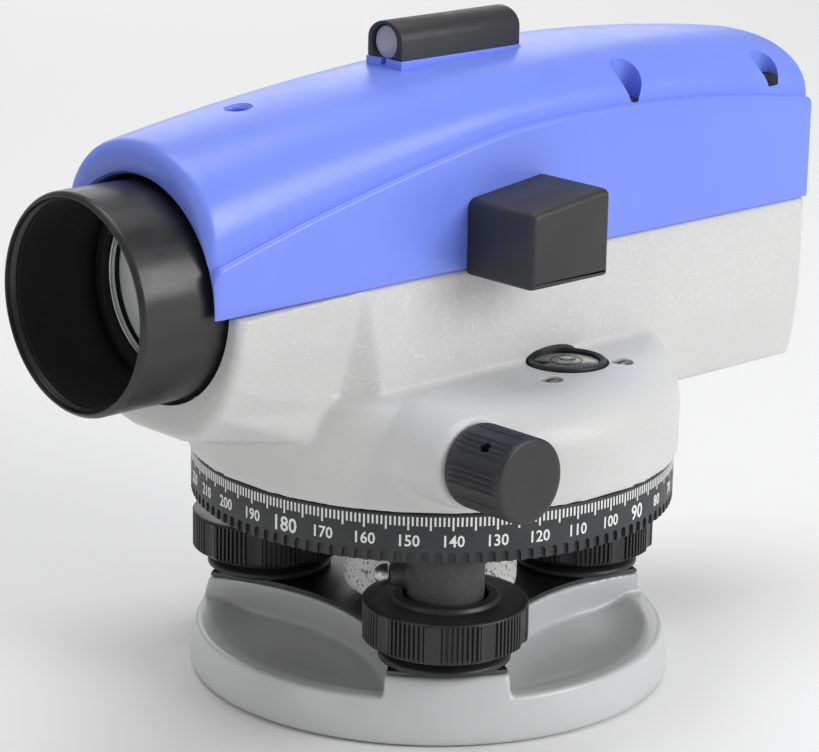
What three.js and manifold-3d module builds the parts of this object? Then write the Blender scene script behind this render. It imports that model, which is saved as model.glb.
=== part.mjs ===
// Automatic level: a surveying telescope with a compensator, on a levelling base.
// Millimetres. +Z is the standing axis, the telescope lies along X with its objective at -X,
// and the bubble and its mirror are on the -Y side.

import * as THREE from 'three';
import { mergeVertices } from 'three/addons/utils/BufferGeometryUtils.js';
import Module from 'manifold-3d';

const wasm = await Module();
wasm.setup();

// ---------------------------------------------------------------- driving dimensions

const gap = 0.3;                 // clearance kept between pieces that touch
const turn = Math.PI * 2;
const degree = Math.PI / 180;
const fineness = 0.72;           // scales every facet count below

const base = {
  bottomRadius: 55.2,
  topRadius: 52.7,
  plateauTop: 15.2,
  rimTop: 10.5,
  dishFloor: 7.6,
  dishFloorRadius: 43,
  dishRimRadius: 50.6,
  flankRadius: 55.8,             // the three hollow flanks between the arms
  flankCentre: 78.9,
  footingRadius: 44,
  footingDepth: 1.6,
  bossRadius: 17,
  threadRadius: 7.94,            // 5/8 inch tripod thread
  threadDepth: 12.6,
};

const foot = {
  firstAngle: 231,
  pitchRadius: 42,
  knobRadius: 18.2,
  knobBottom: 20,
  knobTop: 30.1,
  collarRadius: 11.4,
  collarTop: 31.4,
  wellRadius: 9.4,
  wellFloor: 24,
  screwRadius: 3.4,
  neckRadius: 2.4,
  ballBottom: 10,
  ballTop: 14.2,
  screwTop: 38.4,
  washerRadius: 14.6,
  washerBottom: 16.7,
  washerTop: 19.6,
};

const springPlate = {
  bottom: base.plateauTop + gap,
  top: 16.4,
  inset: 0.8,
  slotRadius: 48.6,
  slotAngle: 11.5,
  slotSize: 3.2,
};

const head = {
  hubBottom: 19,
  hubRadius: 20,
  plateBottom: 39.2,
  plateTop: 41.8,
  plateRadius: 45,
  pivotRadius: 11.7,
  pivotTop: 52,
  legRadius: 8.5,
  legBottom: 25,
  pinchHeight: 35.4,
  pinchRadius: 2.7,
  pinchReach: 12.4,
  pinchHeadRadius: 2.3,
  pinchHeadReach: 15.6,
};

const spindle = { radius: 7.8, bottom: 22, top: 70.4 };

const circle = {
  radius: 55,
  bottom: 42.1,
  top: 53.2,
  innerRadius: 49.6,
  webTop: 45.2,
  boreRadius: 12,
};

const housing = {
  bottom: 53.6,
  turretRadius: 55.9,
  shoulderStart: 64,
  shelf: 76.1,
  shoulderInset: 13.3,
  turretCavityRadius: 50.9,
  turretCavityTop: 71,
  deckFloor: 77,
  joint: 100.3,                  // where the cover begins
  side: 25.5,
  cavitySide: 20.5,
  noseFront: -81,
  cavityStart: -42,
  rear: 97.4,
  rearCavityStart: 58,
  rearCavityEnd: 92,
  rearCavityFloor: 66.4,
  underside: 62.1,
  hubRadius: 14,
  hubBottom: 61.5,
  bushRadius: 11,
};

const axisHeight = 101.5;        // height of the line of sight

const hood = { radius: 23.6, wall: 2.1, front: -102.3, rear: -73.6, mouthRadius: 24.6 };
const barrel = {
  radius: 21.1,
  boreRadius: 18.6,
  innerRadius: 17.4,
  front: -80,
  lensSeat: -70,
  rear: -43,
  stopRadius: 12,
  stopThickness: 2.5,
  socketRadius: 21.6,
};
const retainer = { innerRadius: 16.6, front: -79.4, rear: -77.4 };
const objectiveRadius = 18.2;

const cover = {
  bottom: housing.joint + gap,
  front: -86,
  rear: 98.1,
  edge: 1.6,
  panelHalf: 26.1,
  humpHalf: 24.2,
  wall: 2.6,
  archRadius: 24.9,
  roundness: 2.2,
  peakX: 28,
  peakHeight: 142.5,
  frontFall: 0.00073,
  rearFall: 0.00102,
};

const drive = {
  x: -35.1,
  z: 66.3,
  shaftRadius: 2.6,
  knobRadius: 9.25,
  knobInner: 49.6,
  knobOuter: 66,
  bossRadius: 10.2,
  bossStart: 36,
  bossEnd: 49.3,
  wormRadius: 4,
  wormHalf: 8,
  holeY: 58.5,
  holeRadius: 1.25,
  holeTilt: 40.6,                // degrees from upright, towards the objective
};

const wheel = {
  radius: -drive.x - drive.wormRadius - 0.5,
  rimRadius: 27,
  rimBottom: 64.3,
  rimTop: 68.3,
  webBottom: 57,
  webTop: 60,
};

const focus = {
  x: -10,
  z: 93,
  knobRadius: 14.5,
  knobInner: 29.4,
  knobOuter: 45,
  shaftRadius: 2.5,
  pinionRadius: 3.3,
  pinionInner: 12.8,
  pinionOuter: 17,
  bossRadius: 12,
  bossEnd: 29,
  carrierRadius: 12,
  carrierBore: 10,
  carrierFront: -22,
  carrierRear: -3,
  rackFront: -24,
  rackRear: 4,
  rackInner: 10.4,
  rackOuter: 16.5,
  rackTop: 100.4,
  lensX: -13.5,
  lensRadius: 9.7,
  shaftDepth: 4,                 // how far the shaft stops inside the knob's face
};

const pendulum = {
  x: 40,
  pivotZ: 119,
  barRadius: 1.5,
  frameHalf: 16,
  plateInner: 15,
  plateOuter: 17.5,
  frameFloor: housing.deckFloor + 4,
  windowRadius: 9,
  trayBottom: 89.6,
  trayTop: 92,
  trayHalf: 12,
  vaneBottom: 83.5,
  prismHalf: 7,
  prismHeight: 13,
  prismWidth: 20,
  magnetTop: 88.8,
  magnetSlot: 82.6,
};

const eyepiece = {
  tubeRadius: 12.6,
  tubeBore: 10,
  tubeFront: 77,
  tubeRear: 104.4,
  flangeRadius: 17,
  flangeFront: 98.5,
  flangeRear: 101,
  ringRadius: 15.8,
  ringFront: 101.3,
  ringRear: 108.2,
  cupRadius: 12.4,
  cupBore: 7.8,
  cupRear: 111.5,
  openingRadius: 13.2,
};

const eyeLens = { radius: 8.2, front: 104.9, rear: 107.9 };
const reticle = { x: 71.8, radius: 11.5, bore: 8.4 };

const vial = {
  x: 11.2,
  y: -30.8,
  radius: 8.9,
  bottom: 73.4,
  top: 77.1,
  wellRadius: 7,
  floor: 74.4,
  glassRadius: 6.7,
  glassTop: 76.5,
  pocketRadius: 9.6,
  pocketTop: 79,
};
const vialScrews = [[-1.6, -38.8], [20.8, -38.7]];
const vialScrew = { radius: 2.1, holeRadius: 2.5, floor: 73.2, top: 75.2 };

const mirrorBox = {
  front: -16,
  rear: 7.8,
  inner: -26.4,
  outer: -45.8,
  bottom: 99.2,
  topFront: 116,
  topRear: 118.8,
  bevel: 1.4,
  wall: 2.2,
  windowStart: 9,
  plateLength: 13.6,
  plateThickness: 1.2,
  plateAngle: 52,
  plateX: -6.4,
  plateZ: 107.5,
};

const sight = {
  front: -16.8,
  rear: 19.3,
  half: 5.5,
  bottom: 142.8,
  crown: 151,
  boreZ: 146.6,
  boreRadius: 3.5,
  pedestalBottom: 138.8,
  margin: 0.2,                   // how far the pedestal stands out around the sight
};

const coverScrews = [[37.4, 21.2], [85, 21.2], [37.4, -21.2], [85, -21.2]];
const screwPocket = {
  radius: 3.7,
  floor: 128.4,
  seatRadius: 5.4,
  seatBottom: 125.6,
  headRadius: 3.1,
  headTop: 131,
};
const ridgeScrew = { x: -58.5, holeRadius: 2.8, headRadius: 2.4 };

// ---------------------------------------------------------------- making solids

function indexedShape(geometry) {
  const bare = geometry.clone();
  bare.deleteAttribute('normal');
  bare.deleteAttribute('uv');
  const merged = mergeVertices(bare, 1e-4);
  const source = merged.index.array;
  const kept = [];
  for (let i = 0; i < source.length; i += 3) {
    const [a, b, c] = [source[i], source[i + 1], source[i + 2]];
    if (a !== b && b !== c && c !== a) kept.push(a, b, c);
  }
  return { positions: merged.attributes.position.array, triangles: kept };
}

function signedVolume(positions, triangles) {
  const corners = [new THREE.Vector3(), new THREE.Vector3(), new THREE.Vector3()];
  let total = 0;
  for (let i = 0; i < triangles.length; i += 3) {
    corners.forEach((corner, k) => corner.fromArray(positions, triangles[i + k] * 3));
    total += corners[0].dot(corners[1].clone().cross(corners[2]));
  }
  return total;
}

function solid(geometry) {
  const { positions, triangles } = indexedShape(geometry);
  if (signedVolume(positions, triangles) < 0) triangles.reverse();
  return new wasm.Manifold(new wasm.Mesh({
    numProp: 3,
    vertProperties: new Float32Array(positions),
    triVerts: new Uint32Array(triangles),
  }));
}

function join(first, ...others) {
  return others.reduce((sum, other) => sum.add(other), first);
}

function cut(first, ...others) {
  return others.reduce((rest, other) => rest.subtract(other), first);
}

function geometryOf(manifold) {
  const mesh = manifold.getMesh();
  const geometry = new THREE.BufferGeometry();
  const positions = new Float32Array(mesh.numVert * 3);
  for (let i = 0; i < mesh.numVert; i++) {
    for (let k = 0; k < 3; k++) positions[i * 3 + k] = mesh.vertProperties[i * mesh.numProp + k];
  }
  geometry.setAttribute('position', new THREE.BufferAttribute(positions, 3));
  geometry.setIndex(new THREE.BufferAttribute(new Uint32Array(mesh.triVerts), 1));
  geometry.computeVertexNormals();
  return geometry;
}

// A profile of [radius, height] pairs turned about Z, X or Y.
function turned(profile, segments = 32, axis = 'z') {
  const points = profile.map(([radius, height]) => new THREE.Vector2(radius, height));
  const facets = Math.max(8, 2 * Math.round(segments * fineness / 2));
  const geometry = new THREE.LatheGeometry(points, facets);
  if (axis === 'z') geometry.rotateX(Math.PI / 2);
  if (axis === 'x') geometry.rotateZ(-Math.PI / 2);
  return geometry;
}

function cylinder(radius, from, to, { axis = 'z', at = [0, 0, 0], segments = 32 } = {}) {
  const geometry = turned([[0, from], [radius, from], [radius, to], [0, to]], segments, axis);
  return solid(geometry.translate(...at));
}

function sleeve(inner, outer, from, to, { axis = 'z', at = [0, 0, 0], segments = 32 } = {}) {
  const profile = [[inner, from], [outer, from], [outer, to], [inner, to], [inner, from]];
  return solid(turned(profile, segments, axis).translate(...at));
}

function box(low, high) {
  const size = high.map((value, i) => value - low[i]);
  const centre = high.map((value, i) => (value + low[i]) / 2);
  return solid(new THREE.BoxGeometry(...size).translate(...centre));
}

function lathed(profile, segments = 32, axis = 'z', at = [0, 0, 0]) {
  return solid(turned(profile, segments, axis).translate(...at));
}

// Equal rings of points, skinned one to the next and closed by a fan at each end.
function loft(rings) {
  const count = rings[0].length;
  const positions = [];
  const triangles = [];
  rings.forEach((ring) => ring.forEach((point) => positions.push(point.x, point.y, point.z)));
  for (let r = 0; r + 1 < rings.length; r++) {
    for (let i = 0; i < count; i++) {
      const [a, b] = [r * count + i, r * count + (i + 1) % count];
      triangles.push(a, b, b + count, a, b + count, a + count);
    }
  }
  [0, rings.length - 1].forEach((r) => {
    const centre = new THREE.Vector3();
    rings[r].forEach((point) => centre.addScaledVector(point, 1 / count));
    const hub = positions.length / 3;
    positions.push(centre.x, centre.y, centre.z);
    for (let i = 0; i < count; i++) {
      const [a, b] = [r * count + i, r * count + (i + 1) % count];
      if (r === 0) triangles.push(hub, b, a);
      else triangles.push(hub, a, b);
    }
  });
  const geometry = new THREE.BufferGeometry();
  geometry.setAttribute('position', new THREE.Float32BufferAttribute(positions, 3));
  geometry.setIndex(triangles);
  return solid(geometry);
}

// An outline in the XZ plane, pushed through Y from -half to +half.
function slab(outline, half) {
  const shape = new THREE.Shape(outline.map(([x, z]) => new THREE.Vector2(x, z)));
  const geometry = new THREE.ExtrudeGeometry(shape, { depth: 2 * half, bevelEnabled: false });
  return solid(geometry.translate(0, 0, -half).rotateX(Math.PI / 2));
}

const around = (radius, angle) => [radius * Math.cos(angle * degree), radius * Math.sin(angle * degree)];
const footAngles = [0, 1, 2].map((i) => foot.firstAngle + 120 * i);

// ---------------------------------------------------------------- finishes

const finishes = {
  basePaint: { color: 0xd9dadb, roughness: 0.42, metalness: 0 },
  bodyPaint: { color: 0xd2d2d0, roughness: 0.5, metalness: 0 },
  castPaint: { color: 0x77797a, roughness: 0.6, metalness: 0 },
  blue: { color: 0x7f97ff, roughness: 0.36, metalness: 0 },
  black: { color: 0x1d1d1f, roughness: 0.5, metalness: 0 },
  dialBlack: { color: 0x2c2d2f, roughness: 0.55, metalness: 0 },
  springSteel: { color: 0x4a4c4e, roughness: 0.45, metalness: 0.8 },
  steel: { color: 0xa9acb0, roughness: 0.3, metalness: 1 },
  brass: { color: 0xc7a250, roughness: 0.35, metalness: 1 },
  aluminium: { color: 0xb9bcc0, roughness: 0.35, metalness: 1 },
  glass: { color: 0xbfd8d4, roughness: 0.05, metalness: 0, transparent: true, opacity: 0.4 },
  mirror: { color: 0xdfe4e8, roughness: 0.04, metalness: 1 },
};

const level = new THREE.Group();

function piece(name, manifold, finish) {
  const mesh = new THREE.Mesh(geometryOf(manifold), new THREE.MeshStandardMaterial(finishes[finish]));
  mesh.name = name;
  level.add(mesh);
  return mesh;
}

// ---------------------------------------------------------------- levelling base

function makeBasePlate() {
  const above = base.plateauTop + 5;
  const disc = lathed([
    [0, 0], [base.bottomRadius - 1.6, 0], [base.bottomRadius - 0.4, 0.5], [base.bottomRadius, 1.8],
    [base.bottomRadius, 4.2], [base.topRadius + 0.4, base.plateauTop - 1],
    [base.topRadius - 0.4, base.plateauTop], [0, base.plateauTop],
  ], 60);
  const dish = lathed([
    [0, base.dishFloor], [base.dishFloorRadius, base.dishFloor], [base.dishRimRadius, base.rimTop + 0.05],
    [base.dishRimRadius, above], [0, above],
  ], 60);
  let plate = disc;
  footAngles.forEach((angle) => {
    const [x, y] = around(base.flankCentre, angle + 60);
    const place = { at: [x, y, 0], segments: 72 };
    const recess = cylinder(base.flankRadius, base.rimTop, above, place);
    const hollow = cylinder(base.flankRadius, base.dishFloor - 1, above, place).intersect(dish);
    const [sx, sy] = around(foot.pitchRadius, angle);
    const socket = cylinder(foot.screwRadius + 0.5, foot.ballBottom - 0.5, above,
      { at: [sx, sy, 0], segments: 14 });
    plate = cut(plate, recess, hollow, socket);
  });
  const footing = sleeve(base.bossRadius, base.footingRadius, -1, base.footingDepth, { segments: 32 });
  const thread = cylinder(base.threadRadius, -1, base.threadDepth, { segments: 24 });
  piece('base_plate', cut(plate, footing, thread), 'basePaint');
}

function makeSpringPlate() {
  const { inset, bottom, top, slotRadius, slotAngle, slotSize } = springPlate;
  let plate = cylinder(base.topRadius - inset, bottom, top, { segments: 48 });
  footAngles.forEach((angle) => {
    const [x, y] = around(base.flankCentre, angle + 60);
    const flank = cylinder(base.flankRadius + inset, bottom - 1, top + 1, { at: [x, y, 0], segments: 60 });
    const [sx, sy] = around(foot.pitchRadius, angle);
    const neck = cylinder(foot.neckRadius + 0.4, bottom - 1, top + 1, { at: [sx, sy, 0], segments: 12 });
    plate = cut(plate, flank, neck);
    [-1, 1].forEach((side) => {
      const slot = new THREE.BoxGeometry(slotSize, slotSize, 10);
      slot.translate(slotRadius, 0, bottom);
      slot.rotateZ((angle + side * slotAngle) * degree);
      plate = cut(plate, solid(slot));
    });
  });
  piece('spring_plate', plate, 'springSteel');
}

function makeFootScrew(index, angle) {
  const [x, y] = around(foot.pitchRadius, angle);
  const at = [x, y, 0];
  piece(`foot_washer_${index}`, lathed([
    [foot.neckRadius + 0.5, foot.washerBottom], [foot.washerRadius, foot.washerBottom],
    [foot.washerRadius, foot.washerBottom + 1.2], [foot.washerRadius - 3, foot.washerTop],
    [foot.neckRadius + 0.5, foot.washerTop], [foot.neckRadius + 0.5, foot.washerBottom],
  ], 24, 'z', at), 'black');
  piece(`foot_screw_spindle_${index}`, lathed([
    [0, foot.ballBottom], [foot.screwRadius, foot.ballBottom + 1.2], [foot.screwRadius, foot.ballTop],
    [foot.neckRadius, foot.ballTop + 0.8], [foot.neckRadius, foot.knobBottom - gap],
    [foot.screwRadius, foot.knobBottom],
    [foot.screwRadius, foot.screwTop], [0, foot.screwTop],
  ], 14, 'z', at), 'steel');
  const bore = foot.screwRadius + gap;
  piece(`foot_screw_knob_${index}`, lathed([
    [bore, foot.knobBottom], [foot.knobRadius - 1.6, foot.knobBottom],
    [foot.knobRadius, foot.knobBottom + 1.4], [foot.knobRadius, foot.knobTop - 0.8],
    [foot.knobRadius - 1.2, foot.knobTop], [foot.collarRadius + 0.6, foot.knobTop],
    [foot.collarRadius, foot.collarTop], [foot.wellRadius, foot.collarTop],
    [foot.wellRadius, foot.wellFloor], [bore, foot.wellFloor], [bore, foot.knobBottom],
  ], 32, 'z', at), 'black');
}

function makeTribrach() {
  let body = lathed([
    [0, head.hubBottom], [head.hubRadius - 1.5, head.hubBottom], [head.hubRadius, head.hubBottom + 1.5],
    [head.hubRadius, head.plateBottom - 4], [head.hubRadius + 4, head.plateBottom],
    [head.plateRadius, head.plateBottom], [head.plateRadius, head.plateTop],
    [head.pivotRadius, head.plateTop], [head.pivotRadius, head.pivotTop], [0, head.pivotTop],
  ], 40);
  const screwBores = [];
  footAngles.forEach((angle, i) => {
    const [x, y] = around(foot.pitchRadius, angle);
    const leg = lathed([
      [0, head.legBottom], [head.legRadius - 0.6, head.legBottom], [head.legRadius, head.legBottom + 0.8],
      [head.legRadius, head.plateTop], [0, head.plateTop],
    ], 20, 'z', [x, y, 0]);
    const place = (geometry) => geometry.rotateZ((angle - 180) * degree).translate(x, y, head.pinchHeight);
    const ear = turned([[0, 0], [head.pinchRadius, 0], [head.pinchRadius, head.pinchReach],
      [0, head.pinchReach]], 10, 'y');
    const screwHead = turned([[0, head.pinchReach + gap], [head.pinchHeadRadius, head.pinchReach + gap],
      [head.pinchHeadRadius, head.pinchHeadReach - 0.8], [head.pinchHeadRadius - 0.9, head.pinchHeadReach],
      [0, head.pinchHeadReach]], 12, 'y');
    body = join(body, leg, solid(place(ear)));
    screwBores.push(cylinder(foot.screwRadius + gap, head.legBottom - 1, foot.screwTop + 0.6,
      { at: [x, y, 0], segments: 12 }));
    piece(`tension_screw_${i + 1}`, solid(place(screwHead)), 'steel');
  });
  const spindleBore = cylinder(spindle.radius + gap, spindle.bottom - gap, head.pivotTop + 1,
    { segments: 24 });
  piece('tribrach_body', cut(body, ...screwBores, spindleBore), 'castPaint');
  piece('vertical_spindle', lathed([
    [0, spindle.bottom], [spindle.radius, spindle.bottom], [spindle.radius, spindle.top - 1],
    [spindle.radius - 1, spindle.top], [0, spindle.top],
  ], 24), 'steel');
}

function makeCircle() {
  const inner = circle.innerRadius;
  piece('horizontal_circle', lathed([
    [circle.boreRadius, circle.bottom], [circle.radius - 0.6, circle.bottom],
    [circle.radius, circle.bottom + 0.6], [circle.radius, circle.top - 0.4],
    [circle.radius - 0.4, circle.top], [inner, circle.top],
    [inner, circle.webTop], [circle.boreRadius, circle.webTop], [circle.boreRadius, circle.bottom],
  ], 60), 'dialBlack');
}

// ---------------------------------------------------------------- housing and cover

function turretRing(z) {
  const rise = Math.max(0, z - housing.shoulderStart) / (housing.shelf - housing.shoulderStart);
  const bend = 1 - Math.sqrt(Math.max(0, 1 - rise * rise));
  const ring = [];
  for (let i = 0; i < 60; i++) {
    const angle = i / 60 * turn;
    const inset = housing.shoulderInset * Math.abs(Math.sin(angle)) ** 1.2 * bend;
    const radius = housing.turretRadius - inset;
    ring.push(new THREE.Vector3(radius * Math.cos(angle), radius * Math.sin(angle), z));
  }
  return ring;
}

// Half of the nose's cross-section: [half width, height] from the keel up, at the front and at the step.
const noseFrontHalf = [[8, 70], [14.5, 71.4], [20.6, 77.4], [24.6, 84.5], [27.2, 92], [28.4, 100.3]];
const noseStepHalf = [[14, 62.5], [17.6, 65.5], [19.1, 74], [20.9, 82], [23.2, 90], [25.4, 100.3]];

// How far along X the step starts and ends at a height; it leans back towards the deck.
const stepStart = (z) => THREE.MathUtils.mapLinear(z, housing.underside, housing.joint, -47.2, -45.2);
const stepEnd = (z) => THREE.MathUtils.mapLinear(z, housing.underside, housing.joint, -37, -44.2);

function noseRing(half, place) {
  const right = half.map(([y, z]) => new THREE.Vector3(place(z), y, z));
  const left = half.map(([y, z]) => new THREE.Vector3(place(z), -y, z)).reverse();
  return [...right, ...left];
}

function makeHousing() {
  const wallTops = [housing.bottom, housing.shoulderStart, 68, 71.4, 74, 75.6, housing.shelf];
  const turret = loft(wallTops.map(turretRing));
  const beam = slab([
    [stepEnd(housing.joint), housing.joint], [stepEnd(housing.underside), housing.underside],
    [housing.rear - 3.5, housing.underside], [housing.rear - 2.2, 65.4], [housing.rear - 0.4, 75],
    [housing.rear, 82.5], [housing.rear, housing.joint],
  ], housing.side);
  const stepBase = noseStepHalf.map(([, z]) => [housing.side - 0.1, z]);
  const nose = loft([
    noseRing(noseFrontHalf, () => housing.noseFront),
    noseRing(noseStepHalf, stepStart),
    noseRing(stepBase, (z) => stepEnd(z) + gap),
  ]);
  const bosses = [-1, 1].map((side) => {
    const [low, high] = [side * drive.bossStart, side * drive.bossEnd].sort((a, b) => a - b);
    return cylinder(drive.bossRadius, low, high, { axis: 'y', at: [drive.x, 0, drive.z], segments: 36 });
  });
  const focusBoss = cylinder(focus.bossRadius, housing.cavitySide + 1, focus.bossEnd,
    { axis: 'y', at: [focus.x, 0, focus.z], segments: 32 });
  const belowJoint = box([-100, -60, housing.bottom], [100, 60, housing.joint]);
  const turretCavity = cylinder(housing.turretCavityRadius, housing.bottom - 1, housing.turretCavityTop,
    { segments: 48 });
  const hub = cylinder(housing.hubRadius, housing.hubBottom, housing.turretCavityTop + 1, { segments: 24 });
  const hubBore = cylinder(housing.bushRadius + gap, housing.hubBottom - 1, housing.turretCavityTop,
    { segments: 24 });
  const deck = box([housing.cavityStart, -housing.cavitySide, housing.deckFloor],
    [housing.rearCavityEnd, housing.cavitySide, housing.joint + 1]);
  const rearDeck = box([housing.rearCavityStart, -housing.cavitySide, housing.rearCavityFloor],
    [housing.rearCavityEnd, housing.cavitySide, housing.joint]);
  const alongX = { axis: 'x', at: [0, 0, axisHeight], segments: 48 };
  const mouth = cylinder(hood.mouthRadius, housing.noseFront - 1, hood.rear + 0.4, alongX);
  const socket = cylinder(barrel.socketRadius, housing.noseFront - 1, barrel.rear + 3, alongX);
  const eyeHole = cylinder(eyepiece.openingRadius, housing.rearCavityEnd - 2, housing.rear + 2, alongX);
  const shaftHole = cylinder(drive.shaftRadius + 0.4, -drive.knobOuter, drive.knobOuter,
    { axis: 'y', at: [drive.x, 0, drive.z], segments: 14 });
  const focusHole = cylinder(focus.shaftRadius + 0.4, housing.cavitySide - 5, focus.knobOuter,
    { axis: 'y', at: [focus.x, 0, focus.z], segments: 14 });
  const vialPocket = cylinder(vial.pocketRadius, vial.bottom - gap, vial.pocketTop,
    { at: [vial.x, vial.y, 0], segments: 32 });
  const screwHoles = vialScrews.map(([x, y]) => cylinder(vialScrew.holeRadius, vialScrew.floor,
    vial.pocketTop, { at: [x, y, 0], segments: 14 }));
  const outside = join(turret, beam, nose, ...bosses, focusBoss).intersect(belowJoint);
  const shell = cut(outside, turretCavity);
  piece('main_housing', cut(join(shell, hub), hubBore, deck, rearDeck, mouth, socket, eyeHole, shaftHole,
    focusHole, vialPocket, ...screwHoles), 'bodyPaint');
  const bush = sleeve(spindle.radius + gap, housing.bushRadius, housing.hubBottom + gap, spindle.top,
    { segments: 24 });
  piece('spindle_bush', bush, 'brass');
}

const ledgeLine = new THREE.SplineCurve([
  [-90, 109.9], [-62.6, 117.3], [-41.5, 122.1], [-20.9, 126.2], [-2.8, 129.2], [20, 130.4],
  [50, 129.7], [78.3, 127.2], [100, 124.1],
].map(([x, z]) => new THREE.Vector2(x, z))).getPoints(160);

function ledgeHeight(x) {
  const next = ledgeLine.findIndex((point) => point.x >= x);
  const [a, b] = [ledgeLine[next - 1], ledgeLine[next]];
  return THREE.MathUtils.mapLinear(x, a.x, b.x, a.y, b.y);
}

function ridgeHeight(x) {
  const fall = x < cover.peakX ? cover.frontFall : cover.rearFall;
  return cover.peakHeight - fall * (x - cover.peakX) ** 2;
}

// Cross-section of the cover: straight panels, a ledge, then a hump up to the ridge.
function coverRing(x, shrink, bottom) {
  const ledge = ledgeHeight(x);
  const ridge = ridgeHeight(x) - shrink;
  const panel = cover.panelHalf - shrink;
  const hump = cover.humpHalf - shrink;
  const half = [
    [panel, bottom], [panel, ledge - 0.9 - shrink], [panel - 0.7, ledge - shrink],
    [hump + 0.2, ledge - shrink + 0.1],
  ];
  const steps = 7;
  for (let i = 1; i <= steps; i++) {
    const angle = i / steps * turn / 4;
    const across = Math.cos(angle) ** (2 / cover.roundness);
    const up = Math.sin(angle) ** (2 / cover.roundness);
    half.push([hump * across, ledge - shrink + 0.5 + (ridge - ledge + shrink - 0.5) * up]);
  }
  const right = half.map(([y, z]) => new THREE.Vector3(x, y, z));
  const left = half.slice(0, -1).map(([y, z]) => new THREE.Vector3(x, -y, z)).reverse();
  return [...right, ...left];
}

function makeCover() {
  const stations = [];
  for (let i = 0; i <= 12; i++) {
    stations.push(THREE.MathUtils.lerp(cover.front + cover.edge, cover.rear - cover.edge, i / 12));
  }
  const outer = loft([
    coverRing(cover.front, cover.edge, cover.bottom),
    coverRing(cover.front + 0.5, cover.edge * 0.45, cover.bottom),
    ...stations.map((x) => coverRing(x, 0, cover.bottom)),
    coverRing(cover.rear - 0.5, cover.edge * 0.45, cover.bottom),
    coverRing(cover.rear, cover.edge, cover.bottom),
  ]);
  const inside = stations.filter((x, i) => i % 2 === 0);
  inside[0] = cover.front + 2 * cover.wall;
  inside[inside.length - 1] = cover.rear - cover.wall - 0.8;
  const inner = loft(inside.map((x) => coverRing(x, cover.wall, cover.bottom - 1)));
  const alongX = { axis: 'x', at: [0, 0, axisHeight], segments: 48 };
  const arch = cylinder(cover.archRadius, cover.front - 1, cover.front + 8, alongX);
  const eyeHole = cylinder(eyepiece.openingRadius, housing.rearCavityEnd - 2, cover.rear + 1, alongX);
  const { margin } = sight;
  const pedestal = box([sight.front - margin, -sight.half - margin, sight.pedestalBottom],
    [sight.rear + margin, sight.half + margin, sight.bottom - gap]);
  const { floor, seatBottom } = screwPocket;
  const pockets = coverScrews.map(([x, y]) => cylinder(screwPocket.radius, floor, cover.peakHeight,
    { at: [x, y, 0], segments: 16 }));
  const seats = coverScrews.map(([x, y]) => cylinder(screwPocket.seatRadius, seatBottom, cover.peakHeight,
    { at: [x, y, 0], segments: 16 }));
  const ridgeHole = cylinder(ridgeScrew.holeRadius, floor, cover.peakHeight,
    { at: [ridgeScrew.x, 0, 0], segments: 14 });
  const inward = seats.map((seat) => seat.intersect(outer));
  const shell = join(cut(outer, inner), ...inward, pedestal);
  piece('top_cover', cut(shell, arch, eyeHole, ...pockets, ridgeHole), 'blue');
  coverScrews.forEach(([x, y], i) => {
    const { headRadius, headTop } = screwPocket;
    piece(`cover_screw_${i + 1}`, lathed([
      [0, floor + gap], [headRadius, floor + gap], [headRadius, headTop - 0.8], [headRadius - 0.7, headTop],
      [0, headTop],
    ], 12, 'z', [x, y, 0]), 'steel');
  });
  const { headRadius } = ridgeScrew;
  const screwTop = ridgeHeight(ridgeScrew.x) - 2;
  piece('cover_screw_5', lathed([
    [0, screwTop - 7], [headRadius, screwTop - 7], [headRadius, screwTop - 0.6],
    [headRadius - 0.6, screwTop], [0, screwTop],
  ], 12, 'z', [ridgeScrew.x, 0, 0]), 'steel');
}

// ---------------------------------------------------------------- telescope

function makeObjective() {
  const at = [0, 0, axisHeight];
  const inner = hood.radius - hood.wall;
  piece('objective_hood', lathed([
    [inner, hood.rear], [hood.radius, hood.rear], [hood.radius, hood.front + 1],
    [hood.radius - 0.8, hood.front], [inner + 0.7, hood.front], [inner, hood.front + 1.4],
    [inner, hood.rear],
  ], 48, 'x', at), 'black');
  const { boreRadius, innerRadius, lensSeat, rear, stopRadius, stopThickness } = barrel;
  piece('objective_barrel', lathed([
    [boreRadius, barrel.front], [barrel.radius, barrel.front], [barrel.radius, rear], [stopRadius, rear],
    [stopRadius, rear - stopThickness], [innerRadius, rear - stopThickness], [innerRadius, lensSeat],
    [boreRadius, lensSeat], [boreRadius, barrel.front],
  ], 32, 'x', at), 'black');
  const lensFront = retainer.rear + gap;
  const lensRear = lensSeat - 2 * gap;
  piece('lens_retaining_ring', sleeve(retainer.innerRadius, boreRadius - gap, retainer.front, retainer.rear,
    { axis: 'x', at, segments: 32 }), 'aluminium');
  piece('objective_lens', lathed([
    [0, lensFront], [8, lensFront + 0.4], [14, lensFront + 1.2], [objectiveRadius, lensFront + 2.5],
    [objectiveRadius, lensRear - 1], [9, lensRear - 0.3], [0, lensRear],
  ], 24, 'x', at), 'glass');
}

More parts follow.
